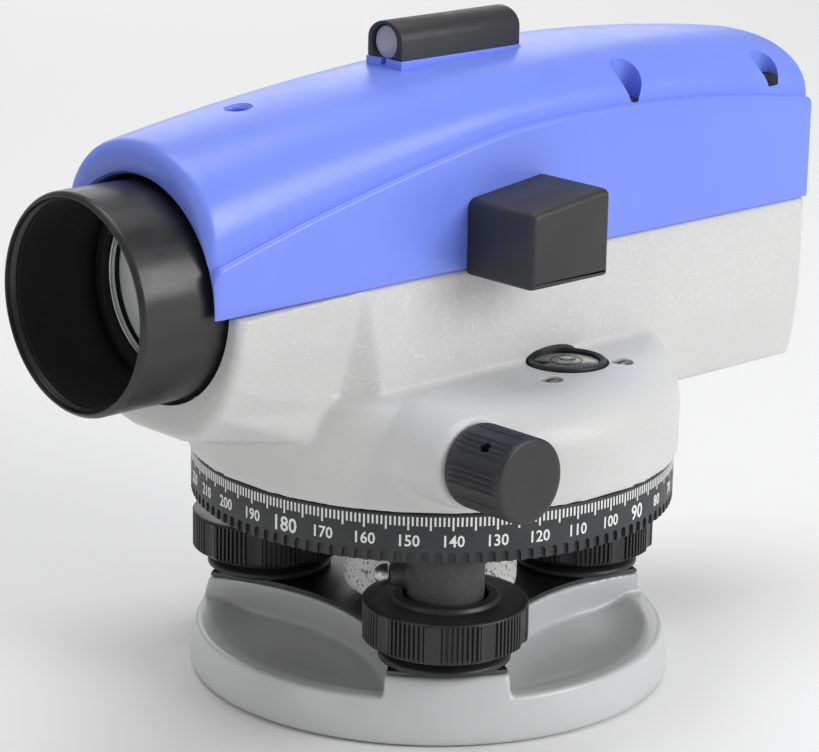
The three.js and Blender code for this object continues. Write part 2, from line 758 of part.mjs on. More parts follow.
function makeFocus() {
  const alongX = { axis: 'x', at: [0, 0, axisHeight], segments: 24 };
  const tube = sleeve(focus.carrierBore, focus.carrierRadius, focus.carrierFront, focus.carrierRear, alongX);
  const rack = box([focus.rackFront, focus.rackInner, focus.z + focus.pinionRadius + gap],
    [focus.rackRear, focus.rackOuter, focus.rackTop]);
  piece('focusing_carrier', join(tube, rack), 'aluminium');
  const { lensX, lensRadius } = focus;
  piece('focusing_lens', lathed([
    [0, lensX - 2], [5, lensX - 1.5], [lensRadius, lensX], [lensRadius, lensX + 2.5], [5, lensX + 2],
    [0, lensX + 1.7],
  ], 16, 'x', [0, 0, axisHeight]), 'glass');
  const alongY = { axis: 'y', at: [focus.x, 0, focus.z], segments: 14 };
  const shaftEnd = focus.knobOuter - focus.shaftDepth;
  const shaft = cylinder(focus.shaftRadius, focus.pinionOuter - 1, shaftEnd, alongY);
  const pinion = cylinder(focus.pinionRadius, focus.pinionInner, focus.pinionOuter, alongY);
  piece('focus_shaft', join(shaft, pinion), 'steel');
  const r = focus.knobRadius;
  const bore = focus.shaftRadius + gap;
  piece('focus_knob', lathed([
    [bore, focus.knobInner], [r - 0.8, focus.knobInner], [r, focus.knobInner + 0.8],
    [r, focus.knobOuter - 1], [r - 1, focus.knobOuter], [0, focus.knobOuter], [0, shaftEnd + gap], [bore, shaftEnd + gap],
    [bore, focus.knobInner],
  ], 32, 'y', [focus.x, 0, focus.z]), 'black');
}

function makeCompensator() {
  const { x, pivotZ, plateInner, plateOuter, frameHalf, frameFloor, windowRadius, barRadius } = pendulum;
  const frameBottom = housing.deckFloor + gap;
  const frameTop = pivotZ + 5;
  const along = { axis: 'y', segments: 14 };
  const plates = [-1, 1].map((side) => {
    const [low, high] = [side * plateInner, side * plateOuter].sort((a, b) => a - b);
    return box([x - frameHalf, low, frameBottom], [x + frameHalf, high, frameTop]);
  });
  const floor = box([x - frameHalf, -plateInner - 1, frameBottom],
    [x + frameHalf, plateInner + 1, frameFloor]);
  const window = cylinder(windowRadius, -30, 30, { ...along, at: [x, 0, axisHeight - 1.5] });
  const pivots = cylinder(barRadius + 0.4, -30, 30, { ...along, at: [x, 0, pivotZ] });
  const bridge = box([x - frameHalf + 1, -plateInner - 1, frameTop - 3.5],
    [x - frameHalf + 5, plateInner + 1, frameTop]);
  piece('compensator_frame', cut(join(...plates, floor, bridge), window, pivots), 'aluminium');
  const { trayBottom, trayTop, trayHalf, prismHalf, prismHeight, prismWidth } = pendulum;
  const bar = cylinder(barRadius, -plateOuter + 0.7, plateOuter - 0.7, { ...along, at: [x, 0, pivotZ] });
  const hangers = [-1, 1].map((side) => {
    const [low, high] = [side * (trayHalf - 1), side * (trayHalf + 1)].sort((a, b) => a - b);
    return box([x - 3, low, trayBottom], [x + 3, high, pivotZ + 2]);
  });
  const tray = box([x - 6, -trayHalf, trayBottom], [x + 6, trayHalf, trayTop]);
  const vane = box([x - 5, -1, pendulum.vaneBottom], [x + 5, 1, trayBottom + 0.5]);
  piece('pendulum_arm', join(bar, ...hangers, tray, vane), 'brass');
  const prismOutline = new THREE.Shape([[-prismHalf, 0], [prismHalf, 0], [0, prismHeight]]
    .map(([u, v]) => new THREE.Vector2(u, v)));
  const prism = new THREE.ExtrudeGeometry(prismOutline, { depth: prismWidth, bevelEnabled: false });
  prism.translate(0, 0, -prismWidth / 2).rotateX(Math.PI / 2).translate(x, 0, trayTop + gap);
  piece('pendulum_prism', solid(prism), 'glass');
  const { magnetTop, magnetSlot } = pendulum;
  const magnet = cut(box([x - 6, -5, frameFloor + gap], [x + 6, 5, magnetTop]),
    box([x - 7, -2, magnetSlot], [x + 7, 2, magnetTop + 1]));
  piece('damper_magnet', magnet, 'steel');
  piece('fixed_prism', box([x - 26, -9, axisHeight - 8.5], [x - 18, 9, axisHeight + 8.5]), 'glass');
}

function makeEyepiece() {
  const at = [0, 0, axisHeight];
  const along = { axis: 'x', at, segments: 24 };
  const { x, bore: cellBore, radius: cellRadius } = reticle;
  const stem = box([x - 1.8, -3.5, housing.rearCavityFloor + gap],
    [x + 1.2, 3.5, axisHeight - cellBore - 1]);
  piece('reticle_cell', join(sleeve(cellBore, cellRadius, x - 2.3, x + 2.2, along), stem), 'black');
  piece('reticle_glass', cylinder(cellBore - gap, x - 0.8, x + 0.8, along), 'glass');
  const { tubeRadius, tubeBore, tubeFront, tubeRear, flangeRadius, flangeFront, flangeRear } = eyepiece;
  piece('eyepiece_tube', lathed([
    [tubeBore, tubeFront], [tubeRadius, tubeFront], [tubeRadius, flangeFront], [flangeRadius, flangeFront],
    [flangeRadius, flangeRear], [tubeRadius, flangeRear], [tubeRadius, tubeRear], [tubeBore, tubeRear],
    [tubeBore, tubeFront],
  ], 28, 'x', at), 'black');
  const bore = tubeRadius + gap;
  piece('dioptre_ring', lathed([
    [bore, eyepiece.ringFront], [eyepiece.ringRadius, eyepiece.ringFront],
    [eyepiece.ringRadius, eyepiece.ringRear - 0.8], [eyepiece.ringRadius - 0.8, eyepiece.ringRear],
    [eyeLens.radius + 0.4, eyepiece.ringRear], [eyeLens.radius + 0.4, tubeRear + gap],
    [bore, tubeRear + gap], [bore, eyepiece.ringFront],
  ], 32, 'x', at), 'black');
  piece('eyepiece_lens', lathed([
    [0, eyeLens.front], [4, eyeLens.front + 0.1], [eyeLens.radius, eyeLens.front + 0.9],
    [eyeLens.radius, eyeLens.rear - 0.7], [4, eyeLens.rear - 0.1], [0, eyeLens.rear],
  ], 16, 'x', at), 'glass');
  const cup = eyepiece.ringRear + gap;
  const { cupRadius, cupBore, cupRear } = eyepiece;
  piece('eyecup', lathed([
    [cupBore, cup], [cupRadius, cup], [cupRadius, cup + 1.4], [cupRadius - 1.2, cupRear],
    [cupBore + 1.6, cupRear], [cupBore, cup + 1.2], [cupBore, cup],
  ], 28, 'x', at), 'black');
}

// ---------------------------------------------------------------- horizontal drive

function makeDrive() {
  const alongY = { axis: 'y', at: [drive.x, 0, drive.z] };
  const shaftEnd = drive.knobOuter - 3;
  const shaft = cylinder(drive.shaftRadius, -shaftEnd, shaftEnd, { ...alongY, segments: 14 });
  piece('drive_shaft', shaft, 'steel');
  piece('drive_worm', sleeve(drive.shaftRadius + gap, drive.wormRadius, -drive.wormHalf, drive.wormHalf,
    { ...alongY, segments: 16 }), 'steel');
  [['left', -1], ['right', 1]].forEach(([side, sign]) => {
    const r = drive.knobRadius;
    const bore = drive.shaftRadius + gap;
    const profile = [
      [bore, drive.knobInner], [r - 0.7, drive.knobInner], [r, drive.knobInner + 0.7],
      [r, drive.knobOuter - 0.6], [r - 0.6, drive.knobOuter], [0, drive.knobOuter], [0, shaftEnd + gap],
      [bore, shaftEnd + gap], [bore, drive.knobInner],
    ];
    const placed = turned(profile, 28, 'y');
    if (sign < 0) placed.rotateX(Math.PI);
    const hole = cylinder(drive.holeRadius, bore + 0.1, r + 2,
      { at: [0, sign * drive.holeY, 0], segments: 12 });
    const grub = cylinder(drive.holeRadius - gap, bore + 0.5, bore + 3.7,
      { at: [0, sign * drive.holeY, 0], segments: 10 });
    const fitted = (shape) => shape.rotate([0, -drive.holeTilt, 0]).translate([drive.x, 0, drive.z]);
    piece(`drive_knob_${side}`, fitted(cut(solid(placed), hole)), 'black');
    piece(`set_screw_${side}`, fitted(grub), 'steel');
  });
  const { rimRadius, webBottom, webTop, rimBottom, rimTop } = wheel;
  const wheelBore = spindle.radius + gap;
  piece('clutch_wheel', lathed([
    [wheelBore, webBottom], [rimRadius, webBottom], [rimRadius, rimBottom], [wheel.radius, rimBottom],
    [wheel.radius, rimTop], [rimRadius - 3, rimTop], [rimRadius - 3, webTop], [wheelBore, webTop],
    [wheelBore, webBottom],
  ], 40), 'brass');
}

// ---------------------------------------------------------------- bubble, mirror and sight

function makeBubble() {
  const at = [vial.x, vial.y, 0];
  piece('vial_cup', lathed([
    [0, vial.bottom], [vial.radius, vial.bottom], [vial.radius, vial.top - 0.4],
    [vial.radius - 0.4, vial.top], [vial.wellRadius + 0.3, vial.top], [vial.wellRadius, vial.top - 0.6],
    [vial.wellRadius, vial.floor], [0, vial.floor],
  ], 28, 'z', at), 'black');
  piece('vial_glass', lathed([
    [0, vial.floor + gap], [vial.glassRadius, vial.floor + gap], [vial.glassRadius, vial.glassTop - 0.5],
    [vial.glassRadius - 2.2, vial.glassTop - 0.2], [0, vial.glassTop],
  ], 20, 'z', at), 'glass');
  vialScrews.forEach(([x, y], i) => {
    piece(`vial_screw_${i + 1}`, cylinder(vialScrew.radius, vialScrew.floor + gap, vialScrew.top,
      { at: [x, y, 0], segments: 12 }), 'steel');
  });
}

function makeMirror() {
  const { front, rear, inner, outer, bottom, topFront, topRear } = mirrorBox;
  const depth = inner - outer;
  const outline = new THREE.Shape([[front, bottom], [rear, bottom], [rear, topRear], [front, topFront]]
    .map(([x, z]) => new THREE.Vector2(x, z)));
  const { bevel, wall } = mirrorBox;
  const block = new THREE.ExtrudeGeometry(outline, {
    depth: depth - bevel, bevelThickness: bevel, bevelSize: bevel, bevelOffset: -bevel, bevelSegments: 2,
  });
  const outside = solid(block.rotateX(Math.PI / 2).translate(0, inner, 0))
    .intersect(box([front - 1, outer - 1, bottom - 1], [rear + 1, inner, topRear + 1]));
  const hollow = box([front + wall, outer + wall, bottom + wall], [rear + 1, inner - wall, topFront - wall]);
  const window = box([front + mirrorBox.windowStart, outer + wall, bottom - 1],
    [rear + 1, inner - wall, bottom + wall + 1]);
  piece('mirror_housing', cut(outside, hollow, window), 'black');
  const { plateLength, plateThickness, plateX, plateZ, plateAngle } = mirrorBox;
  const plate = new THREE.BoxGeometry(plateLength, depth - 2 * wall - 2 * gap, plateThickness);
  plate.rotateY(-plateAngle * degree).translate(plateX, (inner + outer) / 2, plateZ);
  piece('bubble_mirror', solid(plate), 'mirror');
}

function makeSight() {
  const { front, rear, half, bottom, crown, boreZ, boreRadius } = sight;
  const outline = new THREE.Shape();
  outline.moveTo(-half, 0);
  outline.lineTo(half, 0);
  outline.lineTo(half, crown - bottom - half);
  outline.absarc(0, crown - bottom - half, half, 0, Math.PI, false);
  outline.lineTo(-half, 0);
  const bar = new THREE.ExtrudeGeometry(outline,
    { depth: rear - front, bevelEnabled: false, curveSegments: 8 });
  bar.rotateX(Math.PI / 2).rotateZ(Math.PI / 2).translate(front, 0, bottom);
  const bore = cylinder(boreRadius, front - 1, rear + 1, { axis: 'x', at: [0, 0, boreZ], segments: 20 });
  piece('peep_sight', cut(solid(bar), bore), 'black');
  piece('peep_sight_rod', cylinder(boreRadius - gap, front + 1, rear - 1,
    { axis: 'x', at: [0, 0, boreZ], segments: 16 }), 'glass');
}

makeBasePlate();
makeSpringPlate();
footAngles.forEach((angle, i) => makeFootScrew(i + 1, angle));
makeTribrach();
makeCircle();
makeHousing();
makeCover();
makeObjective();
makeFocus();
makeCompensator();
makeEyepiece();
makeDrive();
makeBubble();
makeMirror();
makeSight();

export default level;
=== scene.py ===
import math
import bmesh
import bpy
from mathutils import Matrix, Vector


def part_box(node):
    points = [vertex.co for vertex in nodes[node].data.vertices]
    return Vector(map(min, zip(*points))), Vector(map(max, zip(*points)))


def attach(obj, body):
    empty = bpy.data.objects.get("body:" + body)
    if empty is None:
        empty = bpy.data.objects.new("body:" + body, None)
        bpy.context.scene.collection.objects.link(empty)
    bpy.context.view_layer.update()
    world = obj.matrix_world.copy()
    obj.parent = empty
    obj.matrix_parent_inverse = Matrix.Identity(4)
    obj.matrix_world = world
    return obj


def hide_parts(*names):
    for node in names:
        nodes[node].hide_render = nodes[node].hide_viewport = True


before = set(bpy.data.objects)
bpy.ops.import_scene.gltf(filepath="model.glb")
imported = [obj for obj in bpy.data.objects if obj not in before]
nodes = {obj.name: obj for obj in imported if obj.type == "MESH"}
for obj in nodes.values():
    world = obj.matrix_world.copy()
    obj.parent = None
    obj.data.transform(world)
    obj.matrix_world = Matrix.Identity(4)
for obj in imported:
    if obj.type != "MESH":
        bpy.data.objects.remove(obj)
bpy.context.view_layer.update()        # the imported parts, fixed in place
mm = 0.001               # shapes are drawn in millimetres and scaled once, when they become a piece
footAngles = (231, 351, 111)
footReach = 42           # from the standing axis to each foot screw
print("frame loaded:", len(nodes), "parts")


# Shapes: every helper takes or gives a bmesh in millimetres.

def cadSpan(node):
    low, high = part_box(node)
    return low / mm, high / mm


def around(radius, angle, height=0.0):
    turn = math.radians(angle)
    return Vector((radius * math.cos(turn), radius * math.sin(turn), height))


def rounded(points, steps=4):
    # a corner given as (x, y, cut) becomes a curve that starts and ends that far from it
    outline = []
    for i, point in enumerate(points):
        corner = Vector(point[:2])
        if len(point) < 3:
            outline.append(corner)
            continue
        before = Vector(points[i - 1][:2]) - corner
        after = Vector(points[(i + 1) % len(points)][:2]) - corner
        cut = min(point[2], 0.48 * before.length, 0.48 * after.length)
        start, end = corner + before.normalized() * cut, corner + after.normalized() * cut
        for k in range(steps + 1):
            t = k / steps
            outline.append(start * (1 - t) ** 2 + corner * 2 * t * (1 - t) + end * t ** 2)
    return outline


def placed(shape, axis="Z", at=(0, 0, 0)):
    turns = {
        "Z": Matrix.Identity(3),
        "X": Matrix.Rotation(math.radians(90), 3, "Y"),
        "Y": Matrix.Rotation(math.radians(-90), 3, "X"),
    }
    bmesh.ops.rotate(shape, verts=shape.verts, cent=(0, 0, 0), matrix=turns[axis])
    bmesh.ops.translate(shape, verts=shape.verts, vec=at)
    bmesh.ops.recalc_face_normals(shape, faces=shape.faces)
    return shape


def spun(profile, steps=96, axis="Z", at=(0, 0, 0), closed=False):
    # (radius, height) pairs turned about an axis; closed joins the last to the first
    shape = bmesh.new()
    points = [shape.verts.new((radius, 0, height)) for radius, height in rounded(profile)]
    for start, end in zip(points, points[1:]):
        shape.edges.new((start, end))
    if closed:
        shape.edges.new((points[-1], points[0]))
    bmesh.ops.spin(shape, geom=shape.verts[:] + shape.edges[:], cent=(0, 0, 0), axis=(0, 0, 1),
                   angle=math.tau, steps=steps, use_merge=True)
    bmesh.ops.remove_doubles(shape, verts=shape.verts, dist=0.001)
    return placed(shape, axis, at)


def rod(radius, start, end, axis="Z", at=(0, 0, 0), steps=64):
    return spun([(0, start), (radius, start), (radius, end), (0, end)], steps, axis, at)


def block(low, high, bevel=0.0, segments=3):
    shape = bmesh.new()
    low, high = Vector(low), Vector(high)
    bmesh.ops.create_cube(shape, size=1)
    bmesh.ops.scale(shape, vec=high - low, verts=shape.verts)
    bmesh.ops.translate(shape, vec=(low + high) / 2, verts=shape.verts)
    if bevel:
        bmesh.ops.bevel(shape, geom=shape.edges[:], offset=bevel, segments=segments, profile=0.5,
                        affect="EDGES", material=-1)
    return shape


def lofted(rings):
    # rings of points bridged one to the next, with a face on each end
    shape = bmesh.new()
    loops = []
    for ring in rings:
        points = [shape.verts.new(point) for point in ring]
        edges = [shape.edges.new((points[i - 1], points[i])) for i in range(len(points))]
        loops.append((points, edges))
    for (_, lower), (_, upper) in zip(loops, loops[1:]):
        bmesh.ops.bridge_loops(shape, edges=lower + upper)
    shape.faces.new(loops[0][0])
    shape.faces.new(loops[-1][0])
    bmesh.ops.recalc_face_normals(shape, faces=shape.faces)
    return shape


def pushed(outline, start, end, axis="Z", at=(0, 0, 0)):
    # a flat outline pushed along an axis
    shape = bmesh.new()
    face = shape.faces.new([shape.verts.new((x, y, start)) for x, y in outline])
    pulled = bmesh.ops.extrude_face_region(shape, geom=[face])["geom"]
    top = [item for item in pulled if isinstance(item, bmesh.types.BMVert)]
    bmesh.ops.translate(shape, vec=(0, 0, end - start), verts=top)
    return placed(shape, axis, at)


def asObject(shape, name="blank"):
    mesh = bpy.data.meshes.new(name)
    shape.to_mesh(mesh)
    shape.free()
    part = bpy.data.objects.new(name, mesh)
    bpy.context.scene.collection.objects.link(part)
    return part


def settled(part, tools=()):
    # the shape that the modifiers give, with the working objects removed
    solved = part.evaluated_get(bpy.context.evaluated_depsgraph_get())
    mesh = bpy.data.meshes.new_from_object(solved)
    shape = bmesh.new()
    shape.from_mesh(mesh)
    spent = [item.data for item in (part, *tools)] + [mesh]
    for item in (part, *tools):
        bpy.data.objects.remove(item)
    for item in spent:
        bpy.data.meshes.remove(item)
    return shape


def gathered(shapes):
    # several shapes kept side by side in one bmesh
    first, *others = shapes
    for other in others:
        mesh = bpy.data.meshes.new("loose")
        other.to_mesh(mesh)
        other.free()
        first.from_mesh(mesh)
        bpy.data.meshes.remove(mesh)
    return first


def combined(first, others, operation):
    base = asObject(first)
    tools = [asObject(other) for other in others]
    for tool in tools:
        change = base.modifiers.new("combine", "BOOLEAN")
        change.operation = operation
        change.solver = "MANIFOLD"
        change.object = tool
    return settled(base, tools)


def joined(first, *others):
    return combined(first, others, "UNION")


def carved(first, *others):
    return combined(first, others, "DIFFERENCE")


def kept(first, other):
    return combined(first, [other], "INTERSECT")


def castSkin(shape, voxel, smoothing):
    # a poured or enamelled surface: corners melt into small fillets
    part = asObject(shape)
    skin = part.modifiers.new("skin", "REMESH")
    skin.mode = "VOXEL"
    skin.voxel_size = voxel
    shape = settled(part)
    for _ in range(smoothing):
        bmesh.ops.smooth_vert(shape, verts=shape.verts, factor=0.5,
                              use_axis_x=True, use_axis_y=True, use_axis_z=True)
    return shape


def piece(shape, name, finish, body, replaces=(), sharp=38):
    bmesh.ops.scale(shape, vec=(mm, mm, mm), verts=shape.verts)
    for face in shape.faces:
        face.smooth = True
    made = asObject(shape, name)
    made.data.set_sharp_from_angle(angle=math.radians(sharp))
    made.data.materials.append(finishes[finish])
    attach(made, body)
    if replaces:
        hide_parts(*replaces)
    return made


# Shader maths: a Signal is a socket that can be used in sums.

class Signal:
    def __init__(self, finish, socket):
        self.finish = finish
        self.socket = socket

    def maths(self, operation, first, second):
        return self.finish.node("ShaderNodeMath", {"operation": operation}, {0: first, 1: second})

    def __add__(self, other):
        return self.maths("ADD", self, other)

    def __sub__(self, other):
        return self.maths("SUBTRACT", self, other)

    def __rsub__(self, other):
        return self.maths("SUBTRACT", other, self)

    def __mul__(self, other):
        return self.maths("MULTIPLY", self, other)

    __radd__ = __add__
    __rmul__ = __mul__


class Finish:
    def __init__(self, name, **fixed):
        self.material = bpy.data.materials.new(name)
        self.material.use_nodes = True
        self.tree = self.material.node_tree
        self.tree.nodes.clear()
        self.shader = self.tree.nodes.new("ShaderNodeBsdfPrincipled")
        output = self.tree.nodes.new("ShaderNodeOutputMaterial")
        self.tree.links.new(self.shader.outputs[0], output.inputs[0])
        for socket, value in fixed.items():
            self.shader.inputs[socket].default_value = value
        self.place = self.node("ShaderNodeTexCoord", output="Object")

    def node(self, kind, settings=None, inputs=None, output=0):
        made = self.tree.nodes.new(kind)
        for key, value in (settings or {}).items():
            if key == "stops":
                self.setStops(made.color_ramp.elements, value)
            else:
                setattr(made, key, value)
        for key, value in (inputs or {}).items():
            if isinstance(value, Signal):
                self.tree.links.new(value.socket, made.inputs[key])
            else:
                made.inputs[key].default_value = value
        return Signal(self, made.outputs[output])

    def setStops(self, elements, stops):
        while len(elements) < len(stops):
            elements.new(1)
        for element, (position, colour) in zip(elements, stops):
            element.position = position
            element.color = (*colour, 1)

    def feed(self, socket, signal):
        self.tree.links.new(signal.socket, self.shader.inputs[socket])

    def noise(self, size, detail=2, roughness=0.5, stretch=(1, 1, 1)):
        # size is the width of the pattern's features in millimetres
        where = self.node("ShaderNodeMapping", {}, {"Vector": self.place, "Scale": stretch})
        return self.node("ShaderNodeTexNoise", {}, {
            "Vector": where, "Scale": 1 / (size * mm), "Detail": detail, "Roughness": roughness,
        })

    def band(self, signal, low, high, start=0.0, end=1.0):
        # low to high on the signal becomes start to end, and stays there outside
        return self.node("ShaderNodeMapRange", {"interpolation_type": "SMOOTHSTEP"}, {
            "Value": signal, "From Min": low, "From Max": high, "To Min": start, "To Max": end,
        })

    def blend(self, factor, first, second):
        return self.node("ShaderNodeMix", {"data_type": "RGBA"}, {
            0: factor, 6: (*first, 1) if isinstance(first, tuple) else first,
            7: (*second, 1) if isinstance(second, tuple) else second,
        }, output=2)

    def relief(self, height, depth):
        # height from 0 to 1 stands for that many millimetres
        self.feed("Normal", self.node("ShaderNodeBump", {}, {"Height": height, "Distance": depth * mm}))

    def reach(self, stretch=(1, 1, 0)):
        # distance from the standing axis, in metres
        flat = self.node("ShaderNodeVectorMath", {"operation": "MULTIPLY"}, {0: self.place, 1: stretch})
        return self.node("ShaderNodeVectorMath", {"operation": "LENGTH"}, {0: flat}, output="Value")


def tint(colour, factor):
    return tuple(min(1.0, channel * factor) for channel in colour)


def enamel(name, colour, look):
    # sprayed paint: orange peel, a finer grain with glints, and a faint drift of tone; the glint spots have
    # lower roughness and a painted highlight in the base colour
    finish = Finish(name, **{"Specular IOR Level": look["specular"], "Coat Roughness": 0.12})
    peel = finish.noise(look["peelSize"], 2)
    grain = finish.noise(look["grainSize"], 3, 0.65)
    drift = finish.noise(26, 2)
    flakeAndPaintedGlint = finish.band(finish.noise(look["glintSize"], 0), 0.62, 0.72)
    # the glints, painted highlight included, fade out below this height
    if "plainBelow" in look:
        height = finish.reach((0, 0, 1))
        flakeAndPaintedGlint = flakeAndPaintedGlint * finish.band(height, (look["plainBelow"] - 1) * mm, (look["plainBelow"] + 1) * mm,
                                    0.15, 1)
    tone = finish.band(drift, 0.3, 0.7)
    plain = finish.blend(tone, tint(colour, 1 - look["drift"]), tint(colour, 1 + look["drift"]))
    # painted light and shade: inside this radius the casting takes the light hub colour, outside it the dark
    # colour, so the hub shows lit and the legs shaded
    if "hub" in look:
        radius, shade = look["hub"]
        plain = finish.blend(finish.band(finish.reach(), (radius - 1) * mm, (radius + 1) * mm), shade, plain)
    # painted highlight: the glint spots are painted brighter in the base colour
    speckled = finish.blend(flakeAndPaintedGlint * look["flakeAndPaintedGlint"], plain, tint(colour, 1.35))
    finish.feed("Base Color", speckled)
    finish.feed("Roughness", finish.band(grain, 0.3, 0.7, look["roughness"][0], look["roughness"][1])
                - flakeAndPaintedGlint * look["glintShine"])
    finish.feed("Coat Weight", finish.band(drift, 0.3, 0.7, look["coat"] * 0.7, look["coat"]))
    finish.relief(0.6 * peel + 0.4 * grain, look["depth"])
    return finish.material


def moulded(name, colour, look):
    # plastic: a fine moulded grain, uneven sheen and a little handling haze
    finish = Finish(name, **{"Specular IOR Level": look["specular"], "Coat Roughness": 0.2})
    grain = finish.noise(look["grainSize"], 2, 0.6)
    flow = finish.noise(look["flowSize"], 3, 0.55, look.get("stretch", (1, 1, 1)))
    haze = finish.noise(7, 4, 0.6)
    tone = finish.band(flow, 0.3, 0.7)
    finish.feed("Base Color",
                finish.blend(tone, tint(colour, 1 - look["drift"]), tint(colour, 1 + look["drift"])))
    finish.feed("Roughness", finish.band(0.5 * flow + 0.5 * haze, 0.35, 0.65, *look["roughness"]))
    finish.feed("Coat Weight", finish.band(haze, 0.3, 0.7, look["coat"] * 0.5, look["coat"]))
    finish.relief(grain, look["depth"])
    return finish.material


def metal(name, colour, look):
    # turned or drawn metal: fine lines along the tool's path, and tarnish in patches
    finish = Finish(name, **{"Metallic": 1.0})
    lines = finish.noise(look["lineSize"], 2, 0.6, look.get("stretch", (1, 1, 12)))
    patches = finish.noise(5, 3, 0.6)
    tone = finish.band(patches, 0.35, 0.7)
    finish.feed("Base Color", finish.blend(tone, tint(colour, 1 - look["drift"]), colour))
    finish.feed("Roughness", finish.band(0.6 * lines + 0.4 * patches, 0.3, 0.7, *look["roughness"]))
    finish.relief(lines, look["depth"])
    return finish.material


def clear(name, colour, look):
    # glass: a faint smear of haze over a polished face
    finish = Finish(name, **{"IOR": look["ior"], "Transmission Weight": look["transmission"],
                             "Specular IOR Level": 0.5})
    haze = finish.noise(9, 3)
    finish.feed("Base Color", finish.blend(finish.band(haze, 0.3, 0.7), tint(colour, 0.96), colour))
    finish.feed("Roughness", finish.band(haze, 0.35, 0.75, *look["roughness"]))
    return finish.material


def makeFinishes():
    paint = {
        "specular": 0.5, "peelSize": 1.5, "grainSize": 0.55, "glintSize": 0.7, "drift": 0.02, "flakeAndPaintedGlint": 0.35,
        "glintShine": 0.18, "roughness": (0.36, 0.52), "coat": 0.12, "depth": 0.12,
    }
    smooth = {**paint, "peelSize": 2.6, "grainSize": 0.9, "flakeAndPaintedGlint": 0.0, "glintShine": 0.0,
              "roughness": (0.3, 0.4), "coat": 0.3, "depth": 0.03}
    # rough cast paint: its near-black colour and the light hub colour are painted shade and painted light on
    # one casting
    rough = {**paint, "peelSize": 1.1, "grainSize": 0.5, "flakeAndPaintedGlint": 0.8, "roughness": (0.4, 0.65),
             "coat": 0.0, "depth": 0.3, "drift": 0.12, "hub": (25, (0.85, 0.85, 0.84))}
    plastic = {"specular": 0.5, "grainSize": 0.4, "flowSize": 34, "drift": 0.03, "roughness": (0.3, 0.42),
               "coat": 0.15, "depth": 0.006}
    turnedMetal = {"lineSize": 0.5, "drift": 0.2, "roughness": (0.22, 0.42), "depth": 0.01}
    return {
        "basePaint": enamel("basePaint", (0.6, 0.605, 0.61), smooth),
        "bodyPaint": enamel("bodyPaint", (0.64, 0.64, 0.635), {**paint, "plainBelow": 77}),
        "castPaint": enamel("castPaint", (0.055, 0.055, 0.057), rough),
        "bluePlastic": moulded("bluePlastic", (0.185, 0.275, 0.93), plastic),
        "hoodBlack": moulded("hoodBlack", (0.016, 0.016, 0.017),
                             {**plastic, "grainSize": 0.25, "flowSize": 5, "drift": 0.2,
                              "stretch": (0.25, 1, 1),
                              "roughness": (0.3, 0.44), "depth": 0.012}),
        "boxBlack": moulded("boxBlack", (0.022, 0.022, 0.024),
                            {**plastic, "grainSize": 0.5, "roughness": (0.42, 0.56), "coat": 0.0,
                             "depth": 0.05}),
        "knobBlack": moulded("knobBlack", (0.018, 0.018, 0.019),
                             {**plastic, "flowSize": 9, "drift": 0.2, "roughness": (0.36, 0.5), "coat": 0.05,
                              "depth": 0.012}),
        "rubberBlack": moulded("rubberBlack", (0.02, 0.02, 0.02),
                               {**plastic, "roughness": (0.62, 0.8), "coat": 0.0, "depth": 0.05}),
        "dialBlack": moulded("dialBlack", (0.03, 0.031, 0.033),
                             {**plastic, "grainSize": 0.3, "flowSize": 12, "drift": 0.2,
                              "roughness": (0.4, 0.55),
                              "coat": 0.0, "depth": 0.02}),
        "dialWhite": enamel("dialWhite", (0.85, 0.85, 0.84), {**smooth, "depth": 0.004}),
        "innerBlack": moulded("innerBlack", (0.006, 0.006, 0.006),
                              {**plastic, "roughness": (0.6, 0.8), "coat": 0.0}),
        "springSteel": metal("springSteel", (0.12, 0.122, 0.125), {**turnedMetal, "roughness": (0.35, 0.5)}),
        "steel": metal("steel", (0.56, 0.57, 0.58), turnedMetal),
        "darkSteel": metal("darkSteel", (0.3, 0.29, 0.28), turnedMetal),
        "brass": metal("brass", (0.72, 0.52, 0.2), turnedMetal),
        "aluminium": metal("aluminium", (0.72, 0.73, 0.74), turnedMetal),
        "mirror": metal("mirror", (0.86, 0.88, 0.9), {**turnedMetal, "roughness": (0.02, 0.06), "depth": 0.0,
                                                     "drift": 0.04}),
        # painted reflection: an opaque light grey coat on the front lens stands in for the light seen in the
        # glass
        "lensPaintedReflection": moulded("lensPaintedReflection", (0.92, 0.93, 0.93),
                               {**plastic, "specular": 0.9, "flowSize": 20, "roughness": (0.06, 0.1),
                                "coat": 1.0,
                                "depth": 0.0}),
        "lensGlass": clear("lensGlass", (0.86, 0.93, 0.95), {"ior": 1.52, "transmission": 1.0,
                                                            "roughness": (0.0, 0.04)}),
        "vialGlass": clear("vialGlass", (0.93, 0.97, 0.93), {"ior": 1.45, "transmission": 1.0,
                                                            "roughness": (0.01, 0.06)}),
        "rodGlass": clear("rodGlass", (0.6, 0.61, 0.68), {"ior": 1.49, "transmission": 0.35,
                                                          "roughness": (0.12, 0.25)}),
        "vialFloor": enamel("vialFloor", (0.86, 0.87, 0.85), {**smooth, "depth": 0.01}),
    }


finishes = makeFinishes()
print("finishes made:", len(finishes))


# Camera, light and floor

